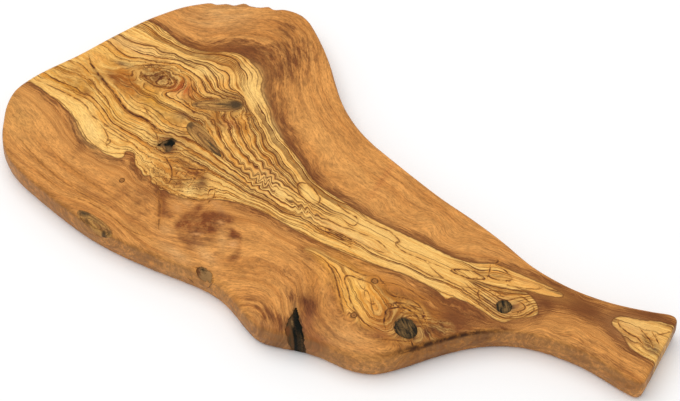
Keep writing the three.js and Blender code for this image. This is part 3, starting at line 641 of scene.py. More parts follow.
class PlankLook(bpy.types.PropertyGroup):
    """Finish of the plank."""
    step: length_setting("Mesh step", "Distance between points of the plank's mesh", 1.27)
    seam: length_setting("Seam", "Room between a knot and its socket", 0.15)
    cleft: length_setting("Cleft", "Room between bark and its socket", 0.6)
    line: length_setting("Line width", "Width of a dark growth line in the heartwood", 1.0)
    pale: colour_setting("Pale heartwood", "Early wood of the heartwood", "#FFCB72")
    gold: colour_setting("Golden heartwood", "Late wood of the heartwood", "#DC9034")
    amber: colour_setting("Amber heartwood", "Latest wood before a dark line", "#B0641C")
    dark_line: colour_setting("Growth line", "Dark line that ends a growth layer", "#5A2607")
    sap: colour_setting("Sapwood", "Plain wood along both edges", "#DE994F")
    sap_band: colour_setting("Sapwood band", "Darker layers of the sapwood", "#B97432")
    sap_shade: colour_setting("Brown sapwood", "Brown wood next to the heartwood", "#7A431A")
    flame: colour_setting("Flames", "Red-brown flames in the front sapwood", "#824418")
    # Streak colour, also used for the painted shade along the arris
    streak_and_shade: colour_setting("Streak", "Blackish streaks and cracks", "#3A200E")
    # Painted shade on the side walls, laid in greyer flecks
    wall: colour_setting("Wall shade", "Greyer wood of the side walls", "#8C6238")
    # Painted shade along the foot of the walls, next to the floor
    foot_shade: colour_setting("Foot shade", "Darkened wood along the lower edge", "#4A2A12")


class KnotLook(bpy.types.PropertyGroup):
    """Finish of the grown-in knots."""
    step: length_setting("Mesh step", "Distance between points of a knot's mesh", 0.33)
    growth: length_setting("Fit", "How far a knot fills the gap of its socket", 0.12)
    crack: length_setting("Cracks", "Depth of the open grain of a dark knot", 0.35)
    ridge: length_setting("Ridges", "Depth of the grain of a grey knot", 0.12)
    core: colour_setting("Dark core", "Core of a dark knot", "#1B150A")
    grain: colour_setting("Core grain", "Lighter grain in a dark core", "#7A5C34")
    halo: colour_setting("Knot rim", "Wood at the rim of a dark knot", "#8E5E30")
    grey: colour_setting("Grey knot", "Body of a grey knot", "#C8954E")
    smoke: colour_setting("Smoke", "Dark places of a grey knot", "#4C3820")
    pin: colour_setting("Pin knot", "Body of a pin knot", "#A86E34")
    pin_ring: colour_setting("Pin ring", "Dark rings of a pin knot", "#4A2A10")


class BarkLook(bpy.types.PropertyGroup):
    """Finish of the bark."""
    step: length_setting("Mesh step", "Distance between points of the bark's mesh", 0.4)
    growth: length_setting("Fit", "How far the bark fills the gap of its socket", 0.4)
    relief: length_setting("Relief", "Depth of the bark's furrows", 0.9)
    furrow: colour_setting("Furrows", "Bottom of the furrows", "#11120C")
    crust: colour_setting("Crust", "Weathered crust", "#2C291B")
    lichen: colour_setting("Weathered bark", "Grey-green bark worn flat with the wood", "#A27A4C")
    edge: colour_setting("Inner bark", "Brown inner bark", "#6B4022")


class StageLook(bpy.types.PropertyGroup):
    """Floor, light and camera."""
    floor: colour_setting("Floor", "Colour of the floor", "#FFFFFF")
    floor_size: bpy.props.FloatProperty(
        name="Floor size", description="Edge of the square floor", subtype="DISTANCE", unit="LENGTH",
        default=12)
    sky: bpy.props.FloatProperty(
        name="Sky", description="Strength of the even light from all round", min=0, max=1, default=0.78)
    key: bpy.props.FloatProperty(
        name="Key", description="Power of the large soft lamp", subtype="POWER", unit="POWER", default=26)
    key_size: bpy.props.FloatProperty(
        name="Key size", description="Width of the large soft lamp", subtype="DISTANCE", unit="LENGTH",
        default=2.4)
    key_place: bpy.props.FloatVectorProperty(
        name="Key place", description="Where the large soft lamp hangs", subtype="XYZ", unit="LENGTH",
        size=3, default=(-0.5, 0.1, 2.1))
    lens: bpy.props.FloatProperty(
        name="Lens", description="Focal length", subtype="DISTANCE_CAMERA", unit="CAMERA", default=87.67)
    azimuth: bpy.props.FloatProperty(
        name="Azimuth", description="Direction of the camera round the board", subtype="ANGLE",
        unit="ROTATION", default=math.radians(30))
    elevation: bpy.props.FloatProperty(
        name="Elevation", description="Height of the camera above the horizon", subtype="ANGLE",
        unit="ROTATION", default=math.radians(55))
    distance: bpy.props.FloatProperty(
        name="Distance", description="From the camera to the point it looks at", subtype="DISTANCE",
        unit="LENGTH", default=1.042)
    target: bpy.props.FloatVectorProperty(
        name="Target", description="Point on the upper face that the camera looks at", subtype="XYZ",
        unit="LENGTH", size=3, default=(0.0058, -0.00878, 0.020))


def select_only(*objects):
    """Leaves just these objects selected, the first one active."""
    bpy.ops.object.select_all(action="DESELECT")
    for obj in objects:
        obj.select_set(True)
    bpy.context.view_layer.objects.active = objects[0]


def copy_of(names, piece_name):
    """One new object with merged copies of these nodes."""
    copies = []
    for name in names:
        copy = bpy.data.objects.new(name + "_copy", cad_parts[name].data.copy())
        bpy.context.scene.collection.objects.link(copy)
        copies.append(copy)
    select_only(*copies)
    if len(copies) > 1:
        bpy.ops.object.join()
    piece = bpy.context.view_layer.objects.active
    piece.name = piece_name
    piece.data.name = piece_name
    piece.data.materials.clear()
    bpy.ops.object.mode_set(mode="EDIT")
    bpy.ops.mesh.select_all(action="SELECT")
    bpy.ops.mesh.remove_doubles(threshold=MM/1000)
    bpy.ops.object.mode_set(mode="OBJECT")
    return piece


def modify(piece, kind, **settings):
    """Adds a modifier and applies it."""
    select_only(piece)
    modifier = piece.modifiers.new(kind.lower(), kind)
    for key, value in settings.items():
        setattr(modifier, key, value)
    bpy.ops.object.modifier_apply(modifier=modifier.name)


def clear_slivers(piece):
    """Merges points that all but meet and drops the folded slivers left by cutting."""
    select_only(piece)
    bpy.ops.object.mode_set(mode="EDIT")
    bpy.ops.mesh.select_all(action="SELECT")
    bpy.ops.mesh.remove_doubles(threshold=NEAR_POINTS*MM)
    bpy.ops.mesh.dissolve_degenerate(threshold=FLAT_FACES*MM)
    bpy.ops.mesh.quads_convert_to_tris(quad_method="BEAUTY", ngon_method="BEAUTY")
    bpy.ops.mesh.select_mode(type="EDGE")
    bpy.ops.mesh.select_all(action="DESELECT")
    bpy.ops.mesh.select_non_manifold(use_multi_face=False, use_non_contiguous=False, use_verts=False)
    bpy.ops.mesh.delete(type="EDGE")
    bpy.ops.mesh.select_mode(type="VERT")
    bpy.ops.object.mode_set(mode="OBJECT")


def discard(helper):
    """Takes away an object that only helped to shape a piece."""
    bpy.data.objects.remove(helper)


def dress(piece, material, node_names):
    """Gives a finished piece its material and puts it in the place of its nodes."""
    piece.data.materials.clear()
    piece.data.materials.append(material)
    piece.data.polygons.foreach_set("material_index", np.zeros(len(piece.data.polygons), np.int32))
    select_only(piece)
    bpy.ops.object.shade_smooth_by_angle(angle=SMOOTH_ANGLE)
    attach(piece, BODY)
    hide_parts(*node_names)


def points_of(piece):
    """The piece's vertices in millimetres."""
    flat = np.empty(3*len(piece.data.vertices), np.float32)
    piece.data.vertices.foreach_get("co", flat)
    return flat.reshape(-1, 3).astype(float)/MM


def move_points(piece, points):
    """Puts the piece's vertices at new places, in millimetres."""
    piece.data.vertices.foreach_set("co", (points*MM).astype(np.float32).ravel())
    piece.data.update()


def store(piece, name, values):
    """Keeps one number, one vector or one colour with its strength for each vertex."""
    kind, field = {1: ("FLOAT", "value"), 3: ("FLOAT_VECTOR", "vector"), 4: ("FLOAT_COLOR", "color")}[
        values.size//len(values)]
    attribute = piece.data.attributes.new(name, kind, "POINT")
    attribute.data.foreach_set(field, values.astype(np.float32).ravel())


def smooth_loop(points, steps=5):
    """A closed smooth curve through the points."""
    corners = np.array(points, float)
    before, after, beyond = (np.roll(corners, shift, axis=0) for shift in (1, -1, -2))
    loop = []
    for t in np.arange(steps)/steps:
        loop.append(0.5*(2*corners + (after - before)*t + (2*before - 5*corners + 4*after - beyond)*t**2
                         + (3*corners - before - 3*after + beyond)*t**3))
    return np.stack(loop, axis=1).reshape(-1, 2)


def depth_inside(places, loop):
    """Distance from each place to a closed loop, positive inside."""
    x, y = places.T
    nearest = np.full(len(places), np.inf)
    inside = np.zeros(len(places), bool)
    for (ax, ay), (bx, by) in zip(loop, np.roll(loop, -1, axis=0)):
        ex, ey = bx - ax, by - ay
        along = np.clip(((x - ax)*ex + (y - ay)*ey)/(ex*ex + ey*ey), 0, 1)
        nearest = np.minimum(nearest, (x - ax - along*ex)**2 + (y - ay - along*ey)**2)
        if ay != by:
            inside ^= ((ay > y) != (by > y)) & (x < ax + (y - ay)*ex/ey)
    return np.where(inside, 1, -1)*np.sqrt(nearest)


def turned(places, middle, turn):
    """Places seen from a middle, along and across a direction."""
    angle = math.radians(turn)
    x, y = (places - middle).T
    return x*math.cos(angle) + y*math.sin(angle), y*math.cos(angle) - x*math.sin(angle)


def patch(places, middle, half_length, half_width, turn):
    """A soft oval patch: 1 in its middle, fading to 0."""
    along, across = turned(places, middle, turn)
    return np.exp(-(along/half_length)**2 - (across/half_width)**2)


def share_of(places, spots, share=0.0):
    """How much of each place the spots cover, on top of the share that is covered already."""
    share = share + np.zeros(len(places))
    for *oval, strength in spots:
        share += (1 - share)*strength*patch(places, *oval)
    return share


def plate_kernel(places, centres):
    """How strongly each centre bends a thin plate at each place."""
    squared = ((places[:, None] - centres[None])**2).sum(axis=2)
    return squared*np.log(squared + 1e-9)


class GrowthField:
    """Ring number at any place of the upper face: a thin plate bent through the growth lines."""
    UNIT = 100.0
    SLACK = 2e-4
    BLOCK = 4000
    WIDEST_LAYER = 0.03

    def __init__(self):
        places = [place for _, line in GROWTH_LINES for place in line]
        rings = [ring for ring, line in GROWTH_LINES for _ in line]
        self.centres = np.array(places, float)/self.UNIT
        count = len(places)
        flat = np.column_stack([np.ones(count), self.centres])
        system = np.zeros((count + 3, count + 3))
        system[:count, :count] = plate_kernel(self.centres, self.centres) + self.SLACK*np.eye(count)
        system[:count, count:] = flat
        system[count:, :count] = flat.T
        self.weights = np.linalg.solve(system, np.append(rings, np.zeros(3)))

    def at(self, places):
        """Ring numbers at these places, with the swirl's extra lines and the whorls."""
        count = len(self.centres)
        rings = np.empty(len(places))
        for start in range(0, len(places), self.BLOCK):
            block = places[start:start + self.BLOCK]/self.UNIT
            bent = plate_kernel(block, self.centres) @ self.weights[:count]
            rings[start:start + self.BLOCK] = bent + self.weights[count] + block @ self.weights[count + 1:]
        rings -= SWIRL_LINES*np.clip(-1 - rings, 0, 1)
        for *oval, added in WHORLS:
            rings += added*patch(places, *oval)
        return rings

    def rings_per_millimetre(self, places, rings, reach=0.5):
        """How close together the layers lie at these places."""
        slopes = [(self.at(places + shift) - rings)/reach for shift in ((reach, 0), (0, reach))]
        return np.maximum(np.hypot(*slopes), self.WIDEST_LAYER)


def smooth_line(points, steps=4):
    """A smooth curve through the points, open unless it ends where it starts."""
    if points[0] == points[-1]:
        loop = smooth_loop(points[:-1], steps)
        return np.vstack([loop, loop[:1]])
    ends = [np.array(points[i]) + np.subtract(points[i], points[j]) for i, j in ((0, 1), (-1, -2))]
    loop = smooth_loop([ends[0], *points, ends[1]], steps)
    return loop[steps:steps*len(points) + 1]


def nearest_dark_line(places):
    """Way to the nearest vein or painted shade line in widths of that line with its strength, and how far
    it is away.
    """
    nearest = np.full(len(places), VEIN_REACH)
    ways = np.zeros((len(places), 3))
    for width, strength, points in VEINS_AND_SHADE_LINES:
        line = smooth_line(points)
        taper = np.ones(len(line))
        if points[0] != points[-1]:
            steps = np.arange(len(line))
            taper = np.clip(np.minimum(steps, steps[::-1])/VEIN_TAPER, VEIN_TIP, 1)
        inside = (places > line.min(axis=0) - VEIN_REACH) & (places < line.max(axis=0) + VEIN_REACH)
        rows = np.flatnonzero(inside.all(axis=1))
        for start, end, thick in zip(line, line[1:], taper):
            step = end - start
            along = np.clip((places[rows] - start) @ step/(step @ step), 0, 1)
            way = start + along[:, None]*step - places[rows]
            distance = np.hypot(*way.T)
            closer = distance < nearest[rows]
            hit = rows[closer]
            nearest[hit] = distance[closer]
            ways[hit, :2] = way[closer]/(width*thick)
            ways[hit, 2] = strength*(1 - (distance[closer]/VEIN_REACH)**2)
    return ways, nearest


def blended(places, patches, start):
    """A value that goes from start to each patch's own value inside it."""
    value = np.full(len(places), float(start))
    for *oval, inside in patches:
        value += (inside - value)*np.clip(PATCH_FILL*patch(places, *oval), 0, 1)
    return value


def brown_share(places, rings, heart):
    """How brown the sapwood is: a band next to the heartwood and the brown patches."""
    back = rings > MIDDLE_LINE
    reach = np.where(back, np.interp(places[:, 0], *zip(*BACK_BAND)),
                     np.interp(places[:, 0], *zip(*FRONT_BAND)))
    band = np.where(back, BACK_BROWN, FRONT_BROWN)*np.clip(BAND_START*(1 + heart/reach), 0, 1)
    return share_of(places, BROWN_PATCHES, band)


def flame_share(places):
    """How much of the sapwood the flames cover."""
    share = np.zeros(len(places))
    for strength, outline in FLAMES:
        depth = depth_inside(places, np.array(outline, float))
        share = np.maximum(share, strength*np.clip(0.5 + depth/(2*FLAME_EDGE), 0, 1))
    return share


def stain_and_light_tint(places):
    """Colour and strength of the stains and the painted light, each laid over the ones before."""
    tint = np.tile([*paint(GOLD), 0.0], (len(places), 1))
    for *oval, code, strength in STAINS_AND_PAINTED_LIGHT:
        share = strength*patch(places, *oval)
        under = tint[:, 3]*(1 - share)
        total = np.maximum(share + under, 1e-6)
        tint[:, :3] += (share/total)[:, None]*(np.array(paint(code)) - tint[:, :3])
        tint[:, 3] = share + under
    return tint


def zigzag(places):
    """Places moved to and fro across the layers."""
    moved = places.copy()
    for middle, half_length, half_width, turn, length, height in ZIGZAGS:
        angle = math.radians(turn)
        aside = np.array([-math.sin(angle), math.cos(angle)])
        along, across = turned(places, middle, turn)
        way = along + ZIG_SLANT*across
        for (reach, waves), course in ((ZIG_WANDER_ACROSS, across), (ZIG_WANDER_ALONG, along)):
            way += reach*np.sin(waves*course)
        phase = way/length
        wave = 4*np.abs(phase - np.floor(phase + 0.5)) - 1
        uneven = ZIG_HEIGHT[0] + ZIG_HEIGHT[1]*np.sin(ZIG_SWELL[0]*along + ZIG_SWELL[1]*across)
        fading = patch(places, middle, half_length, half_width, turn)
        moved += (height*wave*uneven*fading)[:, None]*aside
    return moved


def draw_figure(piece):
    """Stores the figure of the wood on the plank's vertices for its finish to read."""
    x, y, z = points_of(piece).T
    drop = THICKNESS - z
    places = np.column_stack([x + LAYER_LEAN[0]*drop, y + LAYER_LEAN[1]*drop])
    field = GrowthField()
    bent = zigzag(places)
    rings = field.at(bent)
    zones = [depth_inside(places, smooth_loop(zone)) for zone in (HEARTWOOD, HANDLE_END, NECK_SWIRL)]
    heart = np.max(zones, axis=0)
    normals = np.empty(3*len(x), np.float32)
    piece.data.vertex_normals.foreach_get("vector", normals)
    store(piece, "rings", rings)
    store(piece, "pitch", field.rings_per_millimetre(bent, rings))
    store(piece, "heart", heart)
    # Painted shade: a dark band along the arris, just under the upper face
    arris = np.interp(drop, ARRIS, (0, 1, 1, 0))
    store(piece, "arris_shade", arris*blended(places, ARRIS_SHADES, 0))
    store(piece, "crisp", np.where(zones[2] < heart, 1.0, 0.0))
    store(piece, "wall", np.interp(np.abs(normals[2::3]), WALL_TILT, (1, 0)))
    store(piece, "brown", brown_share(places, rings, heart))
    store(piece, "flames", flame_share(places))
    store(piece, "tint", stain_and_light_tint(places))
    ways, gap = nearest_dark_line(places)
    store(piece, "vein", ways)
    store(piece, "gap", gap)
    store(piece, "shown", blended(places, LINE_SHARES, USUAL_SHARE))
    store(piece, "curl", blended(places, CURLS, CALM))


class Wiring:
    """The nodes of a new material or world, put together step by step."""

    def __init__(self, owner):
        self.owner = owner
        owner.use_nodes = True
        self.tree = owner.node_tree
        self.tree.nodes.clear()

    def node(self, kind, inputs=None, **settings):
        """A new node with its settings, and its inputs joined or set."""
        made = self.tree.nodes.new("ShaderNode" + kind)
        for key, value in settings.items():
            setattr(made, key, value)
        for key, value in (inputs or {}).items():
            self.feed(made.inputs[key], value)
        return made

    def feed(self, socket, value):
        """Joins a socket to another one, or sets its value."""
        if isinstance(value, bpy.types.NodeSocket):
            self.tree.links.new(value, socket)
            return
        if socket.type == "RGBA" and len(value) == 3:
            value = (*value, 1)
        socket.default_value = value

    def math(self, operation, *values, clamp=False):
        """Result of one sum on sockets or numbers."""
        made = self.node("Math", dict(enumerate(values)), operation=operation, use_clamp=clamp)
        return made.outputs[0]

    def blend(self, share, first, second):
        """Colour between first and second."""
        made = self.node("Mix", {0: share, 6: first, 7: second}, data_type="RGBA")
        return made.outputs[2]

    def fade(self, value, start, end, low=0.0, high=1.0):
        """From low at start to high at end, with soft ends."""
        inputs = {"Value": value, "From Min": start, "From Max": end, "To Min": low, "To Max": high}
        return self.node("MapRange", inputs, interpolation_type="SMOOTHSTEP").outputs[0]

    def attribute(self, name):
        """A number stored on the piece's vertices."""
        return self.node("Attribute", attribute_name=name).outputs["Fac"]

    def millimetres(self):
        """Object coordinates in millimetres."""
        place = self.node("TexCoord").outputs["Object"]
        return self.scaled(place, 1/MM)

    def scaled(self, vector, factor):
        """A vector or colour times a number."""
        return self.node("VectorMath", {0: vector, "Scale": factor}, operation="SCALE").outputs[0]

    def noise(self, vector, scale, detail=2.0, roughness=0.5):
        """Smooth noise, with the scale in waves per unit of the vector."""
        inputs = {"Vector": vector, "Scale": scale, "Detail": detail, "Roughness": roughness}
        return self.node("TexNoise", inputs).outputs["Fac"]

    def chance(self, value):
        """A fixed random number for each whole value."""
        return self.node("TexWhiteNoise", {"W": value}, noise_dimensions="1D").outputs["Value"]

    def along_layers(self, place, rings, spread, fineness):
        """A place whose noise is drawn out along the growth layers."""
        flat = self.node("SeparateXYZ", {0: self.scaled(place, spread)})
        layer = self.math("MULTIPLY_ADD", rings, fineness, flat.outputs["Z"])
        joined = self.node("CombineXYZ", {"X": flat.outputs["X"], "Y": flat.outputs["Y"], "Z": layer})
        return joined.outputs[0]

    def output(self, kind, shader):
        """Joins the last shader to the output, and gives back what has been wired."""
        self.node("Output" + kind, {"Surface": shader.outputs[0]})
        return self.owner

    def finish(self, colour, roughness, shine, relief, strength, depth):
        """A satin or matt coat with a fine bump, its depth in metres."""
        bump = self.node("Bump", {"Strength": strength, "Distance": depth, "Height": relief})
        inputs = {"Base Color": colour, "Roughness": roughness, "Specular IOR Level": shine,
                  "Normal": bump.outputs[0]}
        return self.output("Material", self.node("BsdfPrincipled", inputs))


def growth_line(w, rings, pitch, shown, width, seed):
    """Dark line at each whole ring number, sharp on its far side, and the late wood before it."""
    def presence(number):
        """Whether the line of this layer is one of those that show."""
        return w.fade(w.math("SUBTRACT", shown, w.chance(w.math("ADD", layer, number))), -0.06, 0.12)

    layer = w.math("FLOOR", rings)
    across = w.math("FRACT", rings)
    before = w.math("DIVIDE", w.math("SUBTRACT", 1.0, across), pitch)
    after = w.math("DIVIDE", across, pitch)
    presence_before = presence(seed + 1)
    soft = w.fade(w.math("DIVIDE", before, width), 1.0, 0.25)
    sharp = w.math("SUBTRACT", 1.0, w.math("DIVIDE", after, 0.3), clamp=True)
    line = w.math("MAXIMUM", w.math("MULTIPLY", soft, presence_before),
                  w.math("MULTIPLY", sharp, presence(seed)))
    late = w.math("MULTIPLY", w.math("POWER", across, 2.2), presence_before)
    return line, late


def olive_wood(look):
    """Heartwood with crisp dark growth lines between bands of plain, softly banded sapwood."""
    w = Wiring(bpy.data.materials.new("olive_wood"))
    place = w.millimetres()
    pitch = w.attribute("pitch")
    heart = w.attribute("heart")
    shown = w.attribute("shown")
    curl = w.attribute("curl")

    wobble = w.math("SUBTRACT", w.noise(place, 0.13, 4, 0.66), 0.5)
    shift = w.math("MULTIPLY", w.math("MULTIPLY", w.math("MULTIPLY", wobble, 4.0), curl), pitch)
    rings = w.math("ADD", w.attribute("rings"), shift)
    width = w.math("MULTIPLY_ADD", w.noise(place, 0.2, 2), look.line/MM*2.4, look.line/MM*-0.2)
    line, late = growth_line(w, rings, pitch, shown, width, 0.37)
    slim = w.math("MULTIPLY", width, 0.8)
    fine_rings = w.math("MULTIPLY_ADD", rings, FINE_LINES, 0.4)
    fine_pitch = w.math("MULTIPLY", pitch, FINE_LINES)
    fine_shown = w.math("MULTIPLY", shown, 0.8)
    fine_line, fine_late = growth_line(w, fine_rings, fine_pitch, fine_shown, slim, 0.71)
    hair_rings = w.math("MULTIPLY_ADD", rings, HAIR_LINES, 0.2)
    hair_pitch = w.math("MULTIPLY", pitch, HAIR_LINES)
    hair_shown = w.math("MULTIPLY", shown, w.fade(pitch, 0.17, 0.05, 0, 0.7))
    hair_line, hair_late = growth_line(w, hair_rings, hair_pitch, hair_shown, slim, 0.13)

    streaks = w.noise(w.along_layers(place, rings, 0.05, 2.6), 1.0, 3, 0.6)
    fibres = w.noise(w.along_layers(place, rings, 0.22, 9.0), 1.0, 2, 0.6)
    late = w.math("MAXIMUM", late, w.math("MULTIPLY", w.math("MAXIMUM", fine_late, hair_late), 0.45))
    tone = w.math("MULTIPLY_ADD", late, 0.8, w.fade(streaks, 0.36, 0.72, 0, 0.85))
    heart_colour = w.blend(tone, look.pale, look.gold)
    heart_colour = w.blend(w.fade(tone, 0.75, 1.8, 0, 0.85), heart_colour, look.amber)

    band = w.fade(w.noise(w.along_layers(place, rings, 0.012, 1.3), 1.0, 3, 0.55), 0.38, 0.66)
    sap_colour = w.blend(w.math("MULTIPLY", band, 0.75), look.sap, look.sap_band)
    flecks = w.fade(w.noise(w.along_layers(place, rings, 0.09, 3.4), 1.0, 4, 0.68), 0.3, 0.7, -1.6, 1.6)
    brown = w.attribute("brown")
    uneven = w.math("MULTIPLY", w.math("MULTIPLY", brown, w.math("SUBTRACT", 1.0, brown)), flecks)
    brown = w.fade(w.math("ADD", brown, uneven), 0.05, 0.95)
    sap_colour = w.blend(brown, sap_colour, look.sap_shade)
    licks = w.fade(w.noise(place, 0.16, 4, 0.65), 0.3, 0.65, 0.45, 1.2)
    sap_colour = w.blend(w.math("MULTIPLY", w.attribute("flames"), licks), sap_colour, look.flame)
    threads = w.fade(w.noise(w.along_layers(place, rings, 0.03, 5.0), 1.0, 3, 0.62), 0.5, 0.68, 0, 0.42)
    sap_colour = w.blend(threads, sap_colour, look.sap_shade)

    mottle = w.noise(w.along_layers(place, rings, 0.07, 1.6), 1.0, 4, 0.65)
    sap_colour = w.scaled(sap_colour, w.fade(mottle, 0.3, 0.7, 0.84, 1.12))

    edge = w.math("MULTIPLY_ADD", w.math("SUBTRACT", w.noise(place, 0.35, 2), 0.5), 1.2, heart)
    crisp = w.attribute("crisp")
    soft = w.math("MULTIPLY_ADD", crisp, -2.2, 2.5)
    inside = w.fade(edge, w.math("MULTIPLY", soft, -1.0), soft)
    colour = w.blend(inside, sap_colour, heart_colour)
    # Stains, and painted light on the back sapwood, laid over the wood
    stain_and_light = w.node("Attribute", attribute_name="tint")
    stain_and_light_share = w.math("MULTIPLY", stain_and_light.outputs["Alpha"], w.fade(streaks, 0.3, 0.7, 0.55, 1.3))
    colour = w.blend(stain_and_light_share, colour, stain_and_light.outputs["Color"])

    rim = w.fade(w.math("ABSOLUTE", edge), 0.9, 0.1)
    lines = w.math("MAXIMUM", line, w.math("MULTIPLY", w.math("MAXIMUM", fine_line, hair_line), 0.75))
    rim = w.math("MULTIPLY", rim, w.math("MULTIPLY_ADD", crisp, 0.55, 0.1))
    lines = w.math("MULTIPLY", w.math("MAXIMUM", w.math("MULTIPLY", lines, inside), rim), 0.94)
    colour = w.blend(lines, colour, look.dark_line)

    # Veins, and the line of painted shade along the neck's arris
    vein = w.node("Attribute", attribute_name="vein").outputs["Vector"]
    shake = w.node("TexNoise", {"Vector": place, "Scale": 0.35, "Detail": 2.0}).outputs["Color"]
    shaken = w.node("VectorMath", {0: shake, 1: (0.5, 0.5, 0.5)}, operation="SUBTRACT").outputs[0]
    vein = w.node("VectorMath", {0: shaken, 1: (1.6, 1.6, 0.0), 2: vein}, operation="MULTIPLY_ADD")
    way = w.node("SeparateXYZ", {0: vein.outputs[0]})
    flat = w.node("CombineXYZ", {"X": way.outputs["X"], "Y": way.outputs["Y"]}).outputs[0]
    far = w.node("VectorMath", {0: flat}, operation="LENGTH").outputs["Value"]
    strength = w.math("MULTIPLY", way.outputs["Z"], w.fade(w.noise(place, 0.24, 1), 0.3, 0.6, 0.3, 1.0))
    halo = w.math("MULTIPLY", w.fade(far, 4.0, 0.5, 0, 0.5), strength, clamp=True)
    colour = w.blend(halo, colour, look.gold)
    near = w.math("MULTIPLY", strength, w.fade(w.attribute("gap"), 1.5, 1.0))
    streak_and_shade = w.math("MULTIPLY", w.fade(far, 1.1, 0.2), near, clamp=True)
    blackest = w.fade(way.outputs["Z"], 0.95, 1.2)
    colour = w.blend(streak_and_shade, colour, w.blend(blackest, look.dark_line, look.streak_and_shade))

    pores = w.noise(w.along_layers(place, rings, 0.5, 16.0), 1.0, 2, 0.6)
    grain = w.math("MULTIPLY", w.fade(fibres, 0.3, 0.7, 0.8, 1.15), w.fade(pores, 0.34, 0.5, 0.74, 1.0))
    colour = w.scaled(colour, grain)

    # Painted shade: the side walls are darkened and greyed in flecks, by how much a face is wall
    wall = w.attribute("wall")
    worn = w.math("MULTIPLY", wall, w.fade(w.noise(place, 0.3, 4, 0.7), 0.35, 0.65, 0.15, 0.75))
    colour = w.blend(worn, colour, look.wall)
    # Painted shade: the walls darken further towards the floor
    height = w.node("SeparateXYZ", {0: place}).outputs["Z"]
    colour = w.blend(w.math("MULTIPLY", wall, w.fade(height, 2.6, 0.4, 0, 0.85)), colour, look.foot_shade)

    # Painted shade along the arris, broken up by noise, in the streak colour
    broken = w.fade(w.noise(place, 0.22, 3, 0.6), 0.36, 0.58, 0.3, 0.95)
    colour = w.blend(w.math("MULTIPLY", w.attribute("arris_shade"), broken), colour, look.streak_and_shade)
    return w.finish(colour, w.fade(streaks, 0.2, 0.8, 0.42, 0.56), 0.13, fibres, 0.12, 0.4*MM)


def make_ragged(piece):
    """Shifts bark, or the shape of its socket, along the edge by the same smooth noise."""
    points = points_of(piece)
    for reach, fineness in RAGGED:
        waves = points*(fineness, fineness, RAGGED_RISE*fineness)
        shift = np.array([noise.noise(Vector(wave)) for wave in waves])
        points[:, :2] += reach*np.outer(shift, EDGE_WAY)
    move_points(piece, points)


class BOARD_OT_plank(bpy.types.Operator):
    """Plank of olive wood with its drawn figure and the sockets of knots and bark"""
    bl_idname = "board.plank"
    bl_label = "Plank"

    def execute(self, context):
        look = context.scene.plank_look
        whole = copy_of(["board"], "whole")
        filling = copy_of(KNOTS + BARK, "filling")
        modify(filling, "DISPLACE", strength=FILLING*MM, mid_level=0)
        flush = copy_of(KNOTS, "flush")
        crust = copy_of(BARK, "crust")
        modify(crust, "DISPLACE", strength=BARK_COVER*MM, mid_level=0)
        select_only(whole, flush, crust)
        bpy.ops.object.join()
        plank = copy_of(["board"], "plank")
        select_only(plank, filling)
        bpy.ops.object.join()
        modify(plank, "REMESH", mode="VOXEL", voxel_size=look.step)
        modify(plank, "SHRINKWRAP", target=whole)
        for names, room in ((KNOTS, look.seam), (BARK, look.cleft)):
            sockets = copy_of(names, "sockets")
            modify(sockets, "DISPLACE", strength=room, mid_level=0)
            if names is BARK:
                modify(sockets, "REMESH", mode="VOXEL", voxel_size=look.step/2)
                make_ragged(sockets)
            modify(plank, "BOOLEAN", object=sockets, operation="DIFFERENCE", solver="MANIFOLD")
            discard(sockets)
        discard(whole)
        clear_slivers(plank)
        draw_figure(plank)
        dress(plank, olive_wood(look), ["board"])
        return {"FINISHED"}


def seated(name, growth, step):
    """A fine closed mesh of one knot or piece of bark that fills its socket."""
    skin = copy_of([name], name + "_skin")
    modify(skin, "DISPLACE", strength=growth, mid_level=0)
    piece = copy_of([name], name + "_piece")
    modify(piece, "DISPLACE", strength=growth, mid_level=0)
    modify(piece, "REMESH", mode="VOXEL", voxel_size=step)
    modify(piece, "SHRINKWRAP", target=skin)
    discard(skin)
    return piece


def rough(first, second, seed):
    """Smooth noise of two numbers per point, between -1 and 1."""
    return np.array([noise.noise(Vector((a, b, seed))) for a, b in zip(first, second)])


def carve(piece, depth):
    """Lowers the upper face, and raises the foot, by a depth in millimetres for each point."""
    points = points_of(piece)
    z = points[:, 2]
    points[:, 2] -= depth*np.interp(z.max() - z, CARVED_TOP, (1, 0))
    points[:, 2] += depth*FOOT_SHARE*np.interp(z, CARVED_FOOT, (1, 0))
    move_points(piece, points)


def across_knot(places, name):
    """Places along and across a knot, and how far out they are: 1 on its rim."""
    middle, half_length, half_width, turn = KNOT_OVALS[name]
    along, across = turned(places, middle, turn)
    return along, across, np.hypot(along/half_length, across/half_width)


def dark_knot(look):
    """Near-black core with open grain, browner towards the rim."""
    w = Wiring(bpy.data.materials.new("dark_knot"))
    place = w.millimetres()
    grain = w.attribute("grain")
    fine = w.noise(place, 1.3, 3, 0.6)
    colour = w.blend(w.fade(w.math("MULTIPLY_ADD", fine, 0.6, grain), 0.6, 1.0), look.core, look.grain)
    ragged = w.math("SUBTRACT", w.noise(place, 0.35, 3, 0.6), 0.5)
    out = w.math("MULTIPLY_ADD", ragged, 0.7, w.attribute("round"))
    colour = w.blend(w.fade(out, 0.45, 0.9, 0, 0.6), colour, look.core)
    colour = w.blend(w.fade(out, 0.92, 1.04), colour, look.halo)
    return w.finish(colour, w.fade(fine, 0.3, 0.7, 0.5, 0.75), 0.12, fine, 0.3, 0.3*MM)


